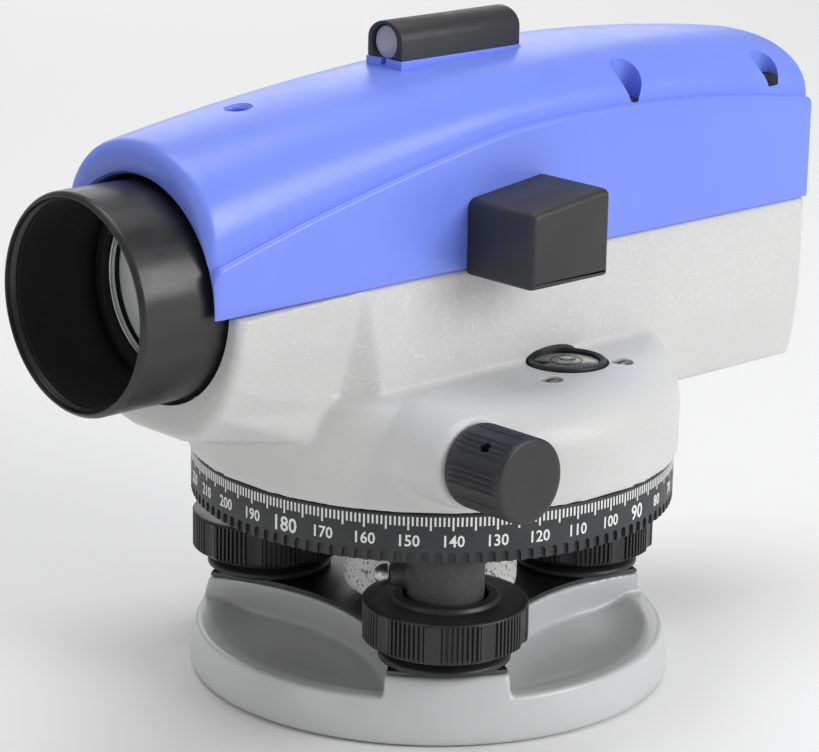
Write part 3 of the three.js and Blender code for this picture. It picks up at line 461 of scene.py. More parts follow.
def makeCamera():
    view = {"azimuth": -43.338, "elevation": 15.997, "roll": 1.023, "lens": 139.82,
            "place": (-0.48021, -0.50090, 0.26681)}
    azimuth, elevation, roll = (math.radians(view[key]) for key in ("azimuth", "elevation", "roll"))
    back = Vector((math.sin(azimuth) * math.cos(elevation), -math.cos(azimuth) * math.cos(elevation),
                   math.sin(elevation)))
    level = Vector((math.cos(azimuth), math.sin(azimuth), 0))
    upright = back.cross(level)
    right = math.cos(roll) * level + math.sin(roll) * upright
    up = math.cos(roll) * upright - math.sin(roll) * level
    data = bpy.data.cameras.new("camera")
    data.lens = view["lens"]
    data.sensor_width = 36
    camera = bpy.data.objects.new("camera", data)
    turn = Matrix((right, up, back)).transposed()
    camera.matrix_world = Matrix.Translation(view["place"]) @ turn.to_4x4()
    bpy.context.scene.collection.objects.link(camera)
    bpy.context.scene.camera = camera


def softbox(name, place, target, size, power):
    data = bpy.data.lights.new(name, "AREA")
    data.shape = "RECTANGLE"
    data.size, data.size_y = size
    data.energy = power
    lamp = bpy.data.objects.new(name, data)
    lamp.location = place
    lamp.rotation_euler = (Vector(target) - Vector(place)).to_track_quat("-Z", "Y").to_euler()
    bpy.context.scene.collection.objects.link(lamp)


def makeStudio():
    studio = {"sky": 0.34, "backdrop": 1.0, "floorSize": 6.0, "floorTone": 0.93, "floorDrop": 0.0002,
              "key": 10, "top": 6.2, "left": 1.6, "rear": 3}
    softbox("keyLight", (0.45, -1.15, 0.6), (0, 0, 0.08), (0.8, 0.6), studio["key"])
    softbox("topLight", (0.05, 0.1, 1.25), (0, 0, 0.08), (0.9, 0.7), studio["top"])
    softbox("leftLight", (-1.25, 0.1, 0.35), (0, 0, 0.1), (0.5, 0.9), studio["left"])
    softbox("rearLight", (0.7, 1.0, 0.6), (0, 0, 0.08), (0.9, 0.8), studio["rear"])
    world = bpy.data.worlds.new("studio")
    bpy.context.scene.world = world
    world.use_nodes = True
    tree = world.node_tree
    tree.nodes.clear()
    output = tree.nodes.new("ShaderNodeOutputWorld")
    rays = tree.nodes.new("ShaderNodeLightPath")
    pick = tree.nodes.new("ShaderNodeMixShader")
    shades = []
    for strength in (studio["sky"], studio["backdrop"]):
        shade = tree.nodes.new("ShaderNodeBackground")
        shade.inputs[0].default_value = (1, 1, 1, 1)
        shade.inputs[1].default_value = strength
        shades.append(shade)
    tree.links.new(rays.outputs["Is Camera Ray"], pick.inputs[0])
    tree.links.new(shades[0].outputs[0], pick.inputs[1])
    tree.links.new(shades[1].outputs[0], pick.inputs[2])
    tree.links.new(pick.outputs[0], output.inputs[0])
    shape = bmesh.new()
    bmesh.ops.create_grid(shape, x_segments=1, y_segments=1, size=studio["floorSize"])
    bmesh.ops.translate(shape, vec=(0, 0, -studio["floorDrop"]), verts=shape.verts)
    floor = asObject(shape, "floor")
    paper = Finish("paper", **{"Roughness": 0.9, "Specular IOR Level": 0.1})
    tone = studio["floorTone"]
    paper.feed("Base Color", paper.blend(paper.noise(60, 2), (tone, tone, tone), (0.93, 0.93, 0.93)))
    floor.data.materials.append(paper.material)
    bpy.context.scene.view_settings.view_transform = "Standard"


makeCamera()
makeStudio()
print("camera and studio made")


# Levelling base

def flankCutters(look, grow, low, high, steps=160):
    cutters = []
    for angle in footAngles:
        centre = around(look["flankCentre"], angle + 60)
        cutters.append(rod(look["flankRadius"] + grow, low, high, at=centre, steps=steps))
    return cutters


def makeBasePlate():
    high = cadSpan("base_plate")[1]
    look = {"flankCentre": 78.9, "flankRadius": 55.8, "dishFloor": 7.6, "dishFloorRadius": 43, "rim": 10.5,
            "dishRimRadius": 50.6, "draft": 2.5, "footing": 44, "boss": 17, "thread": 7.94,
            "threadDepth": 12.6, "voxel": 0.56}
    radius, top = high.x, high.z
    disc = spun([(0, 0), (radius, 0, 2.2), (radius, 4.4, 3), (radius - look["draft"], top, 0.8), (0, top)],
                180)
    dish = spun([(0, look["dishFloor"]), (look["dishFloorRadius"], look["dishFloor"], 4),
                 (look["dishRimRadius"], look["rim"] + 0.4), (look["dishRimRadius"], top + 9), (0, top + 9)],
                 180)
    above = flankCutters(look, 0, look["rim"], top + 5)
    below = [kept(cutter, dish.copy()) for cutter in flankCutters(look, 0, look["dishFloor"] - 1, top + 5)]
    dish.free()
    shape = castSkin(carved(disc, *above, *below), look["voxel"], 2)
    footing = spun([(look["boss"], -1), (look["footing"], -1), (look["footing"], 1.6, 0.5),
                    (look["boss"], 1.6, 0.5)],
                   120, closed=True)
    thread = rod(look["thread"], -1, look["threadDepth"])
    turns = [spun([(look["thread"] - 0.3, z), (look["thread"] + 0.5, z + 0.7),
                   (look["thread"] - 0.3, z + 1.4)],
                  64, closed=True) for z in (1.6, 3.9, 6.2, 8.5)]
    sockets = [rod(3.9, 9.5, 18, at=around(footReach, angle), steps=32) for angle in footAngles]
    shape = carved(shape, footing, thread, *turns, *sockets)
    piece(shape, "base_casting", "basePaint", "levelling_base", ["base_plate"])


def makeSpringPlate():
    low, high = cadSpan("spring_plate")
    look = {"flankCentre": 78.9, "flankRadius": 55.8, "inset": 0.5, "slotRadius": 48.6, "slotAngle": 11.5,
            "slotSize": 3.2}
    disc = spun([(0, low.z), (52.2, low.z, 0.2), (52.2, high.z, 0.3), (0, high.z)], 180)
    holes = [rod(2.9, 10, 20, at=around(footReach, angle), steps=32) for angle in footAngles]
    half = look["slotSize"] / 2
    for angle in footAngles:
        for side in (-1, 1):
            slot = block((look["slotRadius"] - half, -half, 10), (look["slotRadius"] + half, half, 20))
            turn = Matrix.Rotation(math.radians(angle + side * look["slotAngle"]), 3, "Z")
            bmesh.ops.rotate(slot, verts=slot.verts, cent=(0, 0, 0), matrix=turn)
            holes.append(slot)
    shape = carved(disc, *flankCutters(look, look["inset"], 10, 20), *holes)
    piece(shape, "spring_sheet", "springSteel", "levelling_base", ["spring_plate"], sharp=25)


def ribbed(shape, axisPoint, low, high, rule):
    # moves the side of a turned shape in or out by rule(angle) millimetres
    for vert in shape.verts:
        offset = Vector((vert.co.x - axisPoint[0], vert.co.y - axisPoint[1], 0))
        if low < vert.co.z < high and offset.length > 0.9 * axisPoint[2]:
            angle = math.degrees(math.atan2(offset.y, offset.x)) % 360
            vert.co += offset.normalized() * rule(angle)
    return shape


def trapezoid(phase, flat=0.55):
    # 1 on the land of a rib, 0 in its groove, with steep sides; phase runs 0 to 1 over one rib
    distance = abs(phase - 0.5) * 2
    return min(1.0, max(0.0, (flat + 0.14 - distance) / 0.28))


def makeFootScrew(index, angle):
    look = {"groups": 9, "ribs": 8, "padShare": 0.3, "depth": 0.62, "collar": 11.4, "well": 9.4,
            "wellFloor": 24,
            "neck": 3.7, "firstPad": 12, "radius": 18.2, "rim": 30.1}
    low, high = cadSpan(f"foot_screw_knob_{index}")
    centre = around(footReach, angle)
    radius, bottom, rim = look["radius"], low.z, look["rim"]
    rows = [(radius, bottom + 1.9 + k * 0.9) for k in range(8)]
    profile = [
        (look["neck"], bottom), (radius - 2.4, bottom, 0.8), (radius, bottom + 1.5, 0.5), *rows,
        (radius, rim - 0.1, 0.7), (radius - 1.6, rim + 0.1, 0.6), (look["collar"] + 1.6, rim - 0.1),
        (look["collar"] + 0.6, rim + 0.05, 0.3), (look["collar"], high.z, 0.6), (look["well"], high.z, 0.4),
        (look["well"] - 0.3, look["wellFloor"]), (look["neck"], look["wellFloor"]),
    ]
    span = 360 / look["groups"]

    def rule(turn):
        share = (turn - look["firstPad"]) % span / span
        if share < look["padShare"]:
            return -0.25 - 0.3 * math.sin(math.pi * share / look["padShare"])
        phase = (share - look["padShare"]) / (1 - look["padShare"]) * look["ribs"] % 1
        return look["depth"] * (trapezoid(phase) - 1)

    knob = spun(profile, 720, at=centre, closed=True)
    knob = ribbed(knob, (centre.x, centre.y, radius), bottom + 1.2, rim - 0.5, rule)
    piece(knob, f"levelling_knob_{index}", "knobBlack", f"foot_screw_{index}", [f"foot_screw_knob_{index}"],
          sharp=30)
    washerLow, washerHigh = cadSpan(f"foot_washer_{index}")
    washer = spun([(2.9, washerLow.z), (14.6, washerLow.z, 0.4), (14.6, washerLow.z + 1.2, 0.5),
                   (11.8, washerHigh.z, 0.6), (2.9, washerHigh.z)], 120, at=centre, closed=True)
    piece(washer, f"dished_washer_{index}", "knobBlack", "levelling_base", [f"foot_washer_{index}"])
    thread = [(0, 10), (3.4, 11.2, 0.5), (3.4, 14.2), (2.4, 15), (2.4, 19.7), (3.4, 20)]
    for k in range(17):
        z = 20.4 + k
        thread += [(3.4, z), (2.95, z + 0.35), (3.4, z + 0.7)]
    thread += [(3.4, 38), (0, 38.4)]
    piece(spun(thread, 48, at=centre), f"levelling_thread_{index}", "steel", f"foot_screw_{index}",
          [f"foot_screw_spindle_{index}"])


def makeTribrach():
    look = {"hub": 20, "hubBottom": 19, "plate": 45, "plateBottom": 39.2, "plateTop": 41.8, "pivot": 11.7,
            "pivotTop": 52, "leg": 8.5, "legBottom": 25, "earRadius": 2.7, "earHeight": 35.4,
            "earReach": 12.4}
    body = spun([
        (0, look["hubBottom"]), (look["hub"], look["hubBottom"], 1.5),
        (look["hub"], look["plateBottom"] - 4, 2),
        (look["hub"] + 5, look["plateBottom"], 2), (look["plate"], look["plateBottom"], 0.6),
        (look["plate"], look["plateTop"], 0.6), (look["pivot"], look["plateTop"]),
        (look["pivot"], look["pivotTop"], 0.6), (0, look["pivotTop"]),
    ], 120)
    parts = []
    for angle in footAngles:
        centre = around(footReach, angle)
        parts.append(rod(look["leg"], look["legBottom"], look["plateTop"] - 0.3, at=centre))
        ear = rod(look["earRadius"], 0, look["earReach"], axis="Y")
        turn = Matrix.Rotation(math.radians(angle - 180), 3, "Z")
        bmesh.ops.rotate(ear, verts=ear.verts, cent=(0, 0, 0), matrix=turn)
        bmesh.ops.translate(ear, vec=centre + Vector((0, 0, look["earHeight"])), verts=ear.verts)
        parts.append(ear)
    shape = castSkin(joined(body, *parts), 0.7, 3)
    bores = [rod(3.7, 24, 39, at=around(footReach, angle), steps=40) for angle in footAngles]
    bores.append(rod(8.1, 21.7, 53))
    piece(carved(shape, *bores), "tribrach_casting", "castPaint", "levelling_base", ["tribrach_body"])
    for i, angle in enumerate(footAngles):
        head = spun([(0, 0), (2.3, 0, 0.2), (2.3, 1.5, 1), (1.2, 2.9, 0.8), (0, 2.9)], 48, axis="Y")
        head = carved(head, block((-0.3, 1.9, -4), (0.3, 4, 4)))
        turn = Matrix.Rotation(math.radians(angle - 180), 3, "Z")
        bmesh.ops.translate(head, vec=(0, look["earReach"] + 0.3, 0), verts=head.verts)
        bmesh.ops.rotate(head, verts=head.verts, cent=(0, 0, 0), matrix=turn)
        bmesh.ops.translate(head, vec=around(footReach, angle, look["earHeight"]), verts=head.verts)
        piece(head, f"pinch_screw_{i + 1}", "steel", "levelling_base", [f"tension_screw_{i + 1}"])


makeBasePlate()
makeSpringPlate()
for number, footAngle in enumerate(footAngles):
    makeFootScrew(number + 1, footAngle)
makeTribrach()
print("levelling base made")


# Horizontal circle

def makeCircle():
    look = {"inner": 49.6, "web": 45.2, "bore": 12, "notches": 120, "notchWidth": 1.7, "notchTop": 43.9,
            "notchDepth": 0.75}
    low, high = cadSpan("horizontal_circle")
    radius = high.x
    ring = spun([
        (look["bore"], low.z), (radius, low.z, 0.5), (radius, high.z, 0.35), (look["inner"], high.z, 0.3),
        (look["inner"], look["web"]), (look["bore"], look["web"]),
    ], 360, closed=True)
    half = look["notchWidth"] / 2
    arch = [(look["notchTop"] + half * math.sin(t), half * math.cos(t))
            for t in (math.radians(k * 30) for k in range(7))]
    cutters = []
    for k in range(look["notches"]):
        notch = pushed([(low.z - 1, half), *arch, (low.z - 1, -half)], 0, 2)
        turn = Matrix.Rotation(math.tau * k / look["notches"], 3, "Z")
        stand = Matrix(((0, 0, 1), (0, 1, 0), (1, 0, 0)))
        bmesh.ops.rotate(notch, verts=notch.verts, cent=(0, 0, 0), matrix=stand)
        bmesh.ops.translate(notch, vec=(radius - look["notchDepth"], 0, 0), verts=notch.verts)
        bmesh.ops.rotate(notch, verts=notch.verts, cent=(0, 0, 0), matrix=turn)
        bmesh.ops.recalc_face_normals(notch, faces=notch.faces)
        cutters.append(notch)
    ring = carved(ring, gathered(cutters))
    piece(ring, "degree_ring", "dialBlack", "circle", ["horizontal_circle"], sharp=30)


def wrapped(shape, radius, angle, lift):
    # a flat drawing, x across and y up, laid round the ring with its middle at an angle
    for vert in shape.verts:
        turn = math.degrees(vert.co.x / radius) + angle
        vert.co = around(radius + vert.co.z * lift, turn, vert.co.y)
    return shape


def numeral(text, height):
    curve = bpy.data.curves.new("numeral", "FONT")
    curve.body = text
    curve.align_x = "CENTER"
    curve.size = height / 0.72
    curve.resolution_u = 2
    curve.extrude = 0.5
    curve.offset = 0.022 * height
    drawing = bpy.data.objects.new("numeral", curve)
    bpy.context.scene.collection.objects.link(drawing)
    bpy.context.view_layer.update()
    mesh = bpy.data.meshes.new_from_object(drawing.evaluated_get(bpy.context.evaluated_depsgraph_get()))
    shape = bmesh.new()
    shape.from_mesh(mesh)
    bpy.data.objects.remove(drawing)
    bpy.data.curves.remove(curve)
    bpy.data.meshes.remove(mesh)
    bmesh.ops.remove_doubles(shape, verts=shape.verts, dist=0.0005)
    return shape


def makeGraduations():
    look = {"zeroAngle": 11.24, "tickTop": 52.55, "short": 2.0, "long": 2.95, "tickWidth": 0.42,
            "paint": 0.06,
            "numeralFoot": 46.0, "numeralHeight": 2.6, "largeHeight": 3.4, "narrow": 0.94}
    radius = cadSpan("horizontal_circle")[1].x
    marks = []
    for degrees in range(360):
        length = look["long"] if degrees % 5 == 0 else look["short"]
        tick = block((-look["tickWidth"] / 2, look["tickTop"] - length, -0.5),
                     (look["tickWidth"] / 2, look["tickTop"], 0.5))
        marks.append(wrapped(tick, radius, look["zeroAngle"] - degrees, look["paint"] * 2))
    for degrees in range(0, 360, 10):
        large = degrees % 90 == 0
        height = look["largeHeight"] if large else look["numeralHeight"]
        foot = look["numeralFoot"] - (0.45 if large else 0)
        shape = numeral(str(degrees), height)
        bmesh.ops.scale(shape, vec=(look["narrow"], 1, 1), verts=shape.verts)
        bmesh.ops.translate(shape, vec=(0, foot, 0), verts=shape.verts)
        marks.append(wrapped(shape, radius, look["zeroAngle"] - degrees, look["paint"] * 2))
    piece(gathered(marks), "circle_graduations", "dialWhite", "circle", sharp=20)


makeCircle()
makeGraduations()
print("horizontal circle made")


# Main housing

housingLook = {
    "bottom": 53.6, "turretRadius": 55.9, "shoulderStart": 64, "shelf": 76.1, "shoulderInset": 13.3,
    "joint": 100.3, "side": 25.5, "cavitySide": 20.5, "noseFront": -81, "rear": 97.4,
    "underside": 62.1, "axis": 101.5, "stepStart": (-47.2, -45.2), "stepEnd": (-37, -44.2),
    "eyepieceBore": 13.2, "focusAt": (-10, 0, 93), "vialAt": (11.2, -30.8, 0),
    "vialScrewsAt": ((-1.6, -38.8, 0), (20.8, -38.7, 0)),
}
noseFrontHalf = ((8, 70), (14.5, 71.4), (20.6, 77.4), (24.6, 84.5), (27.2, 92), (28.4, 100.3))
noseStepHalf = ((14, 62.5), (17.6, 65.5), (19.1, 74), (20.9, 82), (23.2, 90), (25.4, 100.3))


def turretRing(z):
    look = housingLook
    rise = max(0.0, z - look["shoulderStart"]) / (look["shelf"] - look["shoulderStart"])
    bend = 1 - math.sqrt(max(0.0, 1 - rise * rise))
    ring = []
    for k in range(144):
        angle = k * 2.5
        inset = look["shoulderInset"] * abs(math.sin(math.radians(angle))) ** 1.2 * bend
        ring.append(around(look["turretRadius"] - inset, angle, z))
    return ring


def stepPlace(edge, z):
    # how far along X an edge of the nose's step lies at a height
    look = housingLook
    low, high = look[edge]
    return low + (high - low) * (z - look["underside"]) / (look["joint"] - look["underside"])


def noseRing(half, place, inset=0.0):
    ring = [Vector((place(z), y - inset, z + (inset if z < 99 else 0))) for y, z in half]
    return ring + [Vector((point.x, -point.y, point.z)) for point in reversed(ring)]


def makeHousing():
    look = housingLook
    boss = {"x": -35.1, "z": 66.3, "radius": 10.2, "end": 49.3, "round": 1.2, "bore": 3}
    nook = {"mouth": 24.5, "barrel": 21.6, "spindle": 50.9, "vial": 9.5, "vialFloor": 73.1, "scoop": 2.8}
    voxel = 0.8
    levels = [look["bottom"], look["bottom"] + 0.5]
    levels += [look["shoulderStart"] + (look["shelf"] - look["shoulderStart"]) * math.sin(math.radians(k * 9))
               for k in range(11)]
    turret = lofted([turretRing(z) for z in levels])
    beam = pushed(rounded([
        (look["joint"], look["stepEnd"][1]), (look["underside"], look["stepEnd"][0]),
        (look["underside"], 93.9, 1), (65.4, 95.2, 2), (75, 97, 4), (82.5, look["rear"], 3),
        (look["joint"], look["rear"]),
    ]), -look["side"], look["side"])
    bmesh.ops.rotate(beam, verts=beam.verts, cent=(0, 0, 0),
                     matrix=Matrix(((0, 1, 0), (0, 0, 1), (1, 0, 0))))
    bmesh.ops.recalc_face_normals(beam, faces=beam.faces)
    front = look["noseFront"]
    stepBase = [(look["side"] - 0.05, z) for _, z in noseStepHalf]
    nose = lofted([
        noseRing(noseFrontHalf, lambda z: front, 1.5), noseRing(noseFrontHalf, lambda z: front + 0.5, 0.6),
        noseRing(noseFrontHalf, lambda z: front + 1.8),
        noseRing(noseStepHalf, lambda z: stepPlace("stepStart", z)),
        noseRing(stepBase, lambda z: stepPlace("stepEnd", z) + 0.3),
    ])
    bosses = []
    for side in (-1, 1):
        blank = spun([(0, side * 30), (boss["radius"], side * 30),
                      (boss["radius"], side * boss["end"], boss["round"]),
                      (0, side * boss["end"])], 96, "Y", (boss["x"], 0, boss["z"]))
        bosses.append(kept(blank, block((-60, -60, look["bottom"] + 0.2), (0, 60, 76.4))))
    focusBoss = kept(rod(12, 21.5, 29, axis="Y", at=look["focusAt"], steps=96),
                     block((-40, 0, 70), (20, 40, look["joint"])))
    print("  housing blanks ready")
    shape = castSkin(joined(turret, beam, nose, *bosses, focusBoss), voxel, 2)
    print("  housing cast:", len(shape.faces), "faces")
    alongX = {"axis": "X", "at": (0, 0, look["axis"]), "steps": 128}
    scoop = [(nook["vial"] * math.cos(turn), look["shelf"] + 0.2 + nook["scoop"] * math.sin(turn))
             for turn in (math.radians(k * 10) for k in range(9))]
    cuts = [
        rod(nook["spindle"], look["bottom"] - 1, 71, steps=96),
        block((-42, -look["cavitySide"], 77), (92, look["cavitySide"], look["joint"] + 3)),
        block((58, -look["cavitySide"], 66.4), (92, look["cavitySide"], 78)),
        rod(nook["mouth"], look["noseFront"] - 3, -73.2, **alongX),
        rod(nook["barrel"], -84, -40, **alongX),
        rod(look["eyepieceBore"], 90, look["rear"] + 4, **alongX),
        rod(boss["bore"], -60, 60, axis="Y", at=(boss["x"], 0, boss["z"]), steps=32),
        rod(2.9, 15, 40, axis="Y", at=look["focusAt"], steps=32),
        spun([(0, nook["vialFloor"]), (nook["vial"], nook["vialFloor"], 0.4), *scoop,
              (0, look["shelf"] + 0.2 + nook["scoop"])], 96, at=look["vialAt"]),
        *[spun([(0, 73.2), (2.5, 73.2), (2.5, 75.8, 0.3), (2.8, 76.8), (2.8, 80), (0, 80)], 40, at=place)
          for place in look["vialScrewsAt"]],
    ]
    hub = spun([(11.3, 61.5), (14, 61.5, 0.5), (14, 71.5), (11.3, 71.5)], 72, closed=True)
    shape = joined(carved(shape, *cuts), hub)
    piece(shape, "housing_casting", "bodyPaint", "alidade", ["main_housing"], sharp=40)


makeHousing()
print("housing made")


# Top cover

coverLook = {
    "front": -86, "rear": 98.1, "bottom": 100.6, "panel": 26.1, "hump": 24.2, "wall": 2.6, "arch": 24.8,
    "power": 2.2, "peakX": 28, "peak": 142.5, "frontFall": 0.00073, "rearFall": 0.00102, "frontEdge": 2.6,
    "rearEdge": 1.8, "ledgeRound": 1.1, "screwX": (37.4, 85), "screwY": 21.2, "seat": 5.4,
    "ridgeScrewX": -58.5,
}
ledgeLine = ((-90, 109.9), (-62.6, 117.3), (-41.5, 122.1), (-20.9, 126.2), (-2.8, 129.2), (20, 130.4),
             (50, 129.7), (78.3, 127.2), (100, 124.1))


def ledgeHeight(x):
    # a smooth curve through the ledge's points
    at = next(i for i in range(len(ledgeLine) - 1) if x <= ledgeLine[i + 1][0])
    points = [ledgeLine[min(max(at + k, 0), len(ledgeLine) - 1)] for k in (-1, 0, 1, 2)]
    (x0, z0), (x1, z1), (x2, z2), (x3, z3) = points
    slope1 = (z2 - z0) / (x2 - x0)
    slope2 = (z3 - z1) / (x3 - x1)
    width = x2 - x1
    t = (x - x1) / width
    return ((2 * t ** 3 - 3 * t ** 2 + 1) * z1 + (t ** 3 - 2 * t ** 2 + t) * width * slope1
            + (3 * t ** 2 - 2 * t ** 3) * z2 + (t ** 3 - t ** 2) * width * slope2)


def ridgeHeight(x):
    look = coverLook
    fall = look["frontFall"] if x < look["peakX"] else look["rearFall"]
    return look["peak"] - fall * (x - look["peakX"]) ** 2


def coverRing(x, shrink, bottom, panelShare=1.0):
    look = coverLook
    ledge, ridge = ledgeHeight(x) - shrink, ridgeHeight(x) - shrink
    panel, hump = look["panel"] - shrink * panelShare, look["hump"] - shrink
    corner = look["ledgeRound"]
    half = [Vector((panel - 0.4, bottom)), Vector((panel - 0.1, bottom + 0.15)),
            Vector((panel, bottom + 0.5))]
    half += [Vector((panel, bottom + (ledge - corner - bottom) * k / 5)) for k in (1, 2, 3, 4)]
    for k in range(6):
        turn = math.radians(18 * k)
        half.append(Vector((panel - corner * (1 - math.cos(turn)), ledge - corner * (1 - math.sin(turn)))))
    half.append(Vector((hump + 0.35, ledge + 0.02)))
    half.append(Vector((hump + 0.08, ledge + 0.22)))
    for k in range(1, 19):
        turn = math.radians(5 * k)
        across = max(0.0, math.cos(turn)) ** (2 / look["power"])
        rise = math.sin(turn) ** (2 / look["power"])
        half.append(Vector((hump * across, ledge + 0.5 + (ridge - ledge - 0.5) * rise)))
    right = [Vector((x, y, z)) for y, z in half]
    return right + [Vector((x, -point.y, point.z)) for point in reversed(right[:-1])]


def makeCover():
    look = coverLook
    rings = []
    for k in range(7):
        turn = math.radians(15 * k)
        edge = look["frontEdge"]
        rings.append(coverRing(look["front"] + edge * (1 - math.cos(turn)), edge * (1 - math.sin(turn)),
                               look["bottom"], 0.3))
    start, end = look["front"] + look["frontEdge"], look["rear"] - look["rearEdge"]
    rings += [coverRing(start + (end - start) * k / 84, 0, look["bottom"]) for k in range(1, 84)]
    for k in range(7):
        turn = math.radians(15 * k)
        edge = look["rearEdge"]
        rings.append(coverRing(look["rear"] - edge * (1 - math.sin(turn)), edge * (1 - math.cos(turn)),
                               look["bottom"]))
    outer = lofted(rings)
    inner = lofted([coverRing(look["front"] + 5 + k * 17.5, look["wall"], look["bottom"] - 1)
                    for k in range(11)])
    alongX = {"axis": "X", "at": (0, 0, housingLook["axis"]), "steps": 160}
    screws = [(x, y, 0) for y in (look["screwY"], -look["screwY"]) for x in look["screwX"]]
    seats = [kept(rod(look["seat"], 125.6, 141, at=place), outer.copy()) for place in screws]
    low, high = cadSpan("peep_sight")
    pedestal = block((low.x - 0.2, low.y - 0.2, 137.6), (high.x + 0.2, high.y + 0.2, low.z - 0.03), 0.25, 3)
    arch = spun([(0, look["front"] - 2), (look["arch"] + 1.6, look["front"] - 2),
                 (look["arch"] + 1.6, look["front"]),
                 (look["arch"] + 0.5, look["front"] + 0.45), (look["arch"], look["front"] + 1.2),
                 (look["arch"], look["front"] + 9), (0, look["front"] + 9)], 160, "X",
                 (0, 0, housingLook["axis"]))
    shape = joined(carved(outer, inner), *seats, pedestal)
    pockets = [spun([(0, 128.4), (3.3, 128.4), (3.3, 131), (3.7, 134), (3.7, 150), (0, 150)], 48, at=place)
               for place in screws]
    ridge = ridgeHeight(look["ridgeScrewX"])
    ridgeHole = spun([(0, 128), (2.6, 128), (2.6, ridge - 0.6, 0.3), (3.4, ridge + 0.3), (3.4, 150),
                      (0, 150)], 48,
                     at=(look["ridgeScrewX"], 0, 0))
    notch = block((low.x - 2, -0.7, low.z - 1.5), (low.x + 1.5, 0.7, low.z + 1))
    mouth = rod(housingLook["eyepieceBore"], 90, look["rear"] + 1, **alongX)
    shape = carved(shape, arch, mouth, *pockets, ridgeHole, notch)
    piece(shape, "cover_shell", "bluePlastic", "alidade", ["top_cover"], sharp=33)


def screwHead(name, node, radius, finish="steel", lift=0.0, cross=True):
    low, high = cadSpan(node)
    centre = (low + high) / 2
    high.z += lift
    head = spun([(0, low.z), (radius, low.z, 0.15), (radius, high.z - 0.7, 0.5), (radius - 1, high.z, 0.6),
                 (0, high.z)], 48, at=(centre.x, centre.y, 0))
    arm = radius * 0.62
    bars = [block((centre.x - arm, centre.y - 0.35, high.z - 0.9),
                  (centre.x + arm, centre.y + 0.35, high.z + 1))]
    if cross:
        bars.append(block((centre.x - 0.35, centre.y - arm, high.z - 0.9),
                          (centre.x + 0.35, centre.y + arm, high.z + 1)))
    piece(carved(head, *bars), name, finish, "alidade", [node], sharp=30)


makeCover()
# painted shade: the cover screw heads take the near-black inner finish so the deep pockets read as shaded
for number in range(1, 5):
    screwHead(f"cover_screw_head_{number}", f"cover_screw_{number}", 3.1, "innerBlack")
screwHead("cover_screw_head_5", "cover_screw_5", 2.4, "innerBlack")
for number in (1, 2):
    screwHead(f"vial_screw_head_{number}", f"vial_screw_{number}", 2.3, "darkSteel", lift=0.9, cross=False)
print("cover made")


# Telescope: hood, barrel, lens and eyepiece

def makeObjective():
    low, high = cadSpan("objective_hood")
    at = (0, 0, housingLook["axis"])
    radius, inner = high.y, high.y - 2.1
    hood = spun([
        (inner, high.x), (radius, high.x), (radius, low.x + 0.9, 0.8), (radius - 0.8, low.x, 0.5),
        (inner + 0.9, low.x, 0.4), (inner + 0.7, low.x + 1, 0.2), (inner, low.x + 1.9, 0.3),
    ], 192, "X", at, closed=True)
    # painted shade: a thin near-black sheet laid over the hood's bore darkens its shaded inner wall
    lining = spun([(inner - 0.1, low.x + 2.6, 0.2), (inner + 0.5, low.x + 2.6), (inner + 0.5, high.x - 0.5),
                   (inner - 0.1, high.x - 0.5)], 144, "X", at, closed=True)
    piece(lining, "hood_painted_shade_lining", "innerBlack", "alidade", sharp=30)
    piece(hood, "lens_hood", "hoodBlack", "alidade", ["objective_hood"], sharp=30)
    low, high = cadSpan("objective_barrel")
    threads = [item for k in range(6) for item in ((18.6, low.x + 8.6 - k), (18.2, low.x + 8.1 - k))]
    barrel = spun([
        (18.6, low.x, 0.2), (high.y, low.x, 0.4), (high.y, high.x), (12, high.x), (12, high.x - 2.5),
        (17.4, high.x - 2.5), (17.4, -70), (18.6, -70), *threads,
    ], 144, "X", at, closed=True)
    piece(barrel, "lens_barrel", "innerBlack", "alidade", ["objective_barrel"], sharp=30)
    low, high = cadSpan("lens_retaining_ring")
    ring = spun([(17.6, high.x - 0.9, 0.2), (17.8, high.x - 1.2, 0.15), (high.y, high.x - 1.2, 0.2),
                 (high.y, high.x), (17.6, high.x)], 144, "X", at, closed=True)
    piece(ring, "retaining_ring", "aluminium", "alidade", ["lens_retaining_ring"], sharp=30)
    low, high = cadSpan("objective_lens")
    rim = high.y
    front = [(rim * math.sin(math.radians(k * 9)), low.x + 1.2 * math.sin(math.radians(k * 9)) ** 2)
             for k in range(11)]
    lens = spun([*front, (rim, high.x - 1, 0.2), (rim * 0.6, high.x - 0.4, 1), (0, high.x)], 144, "X", at)
    # the front lens takes an opaque light grey: a painted reflection
    piece(lens, "front_lens", "lensPaintedReflection", "alidade", ["objective_lens"], sharp=30)


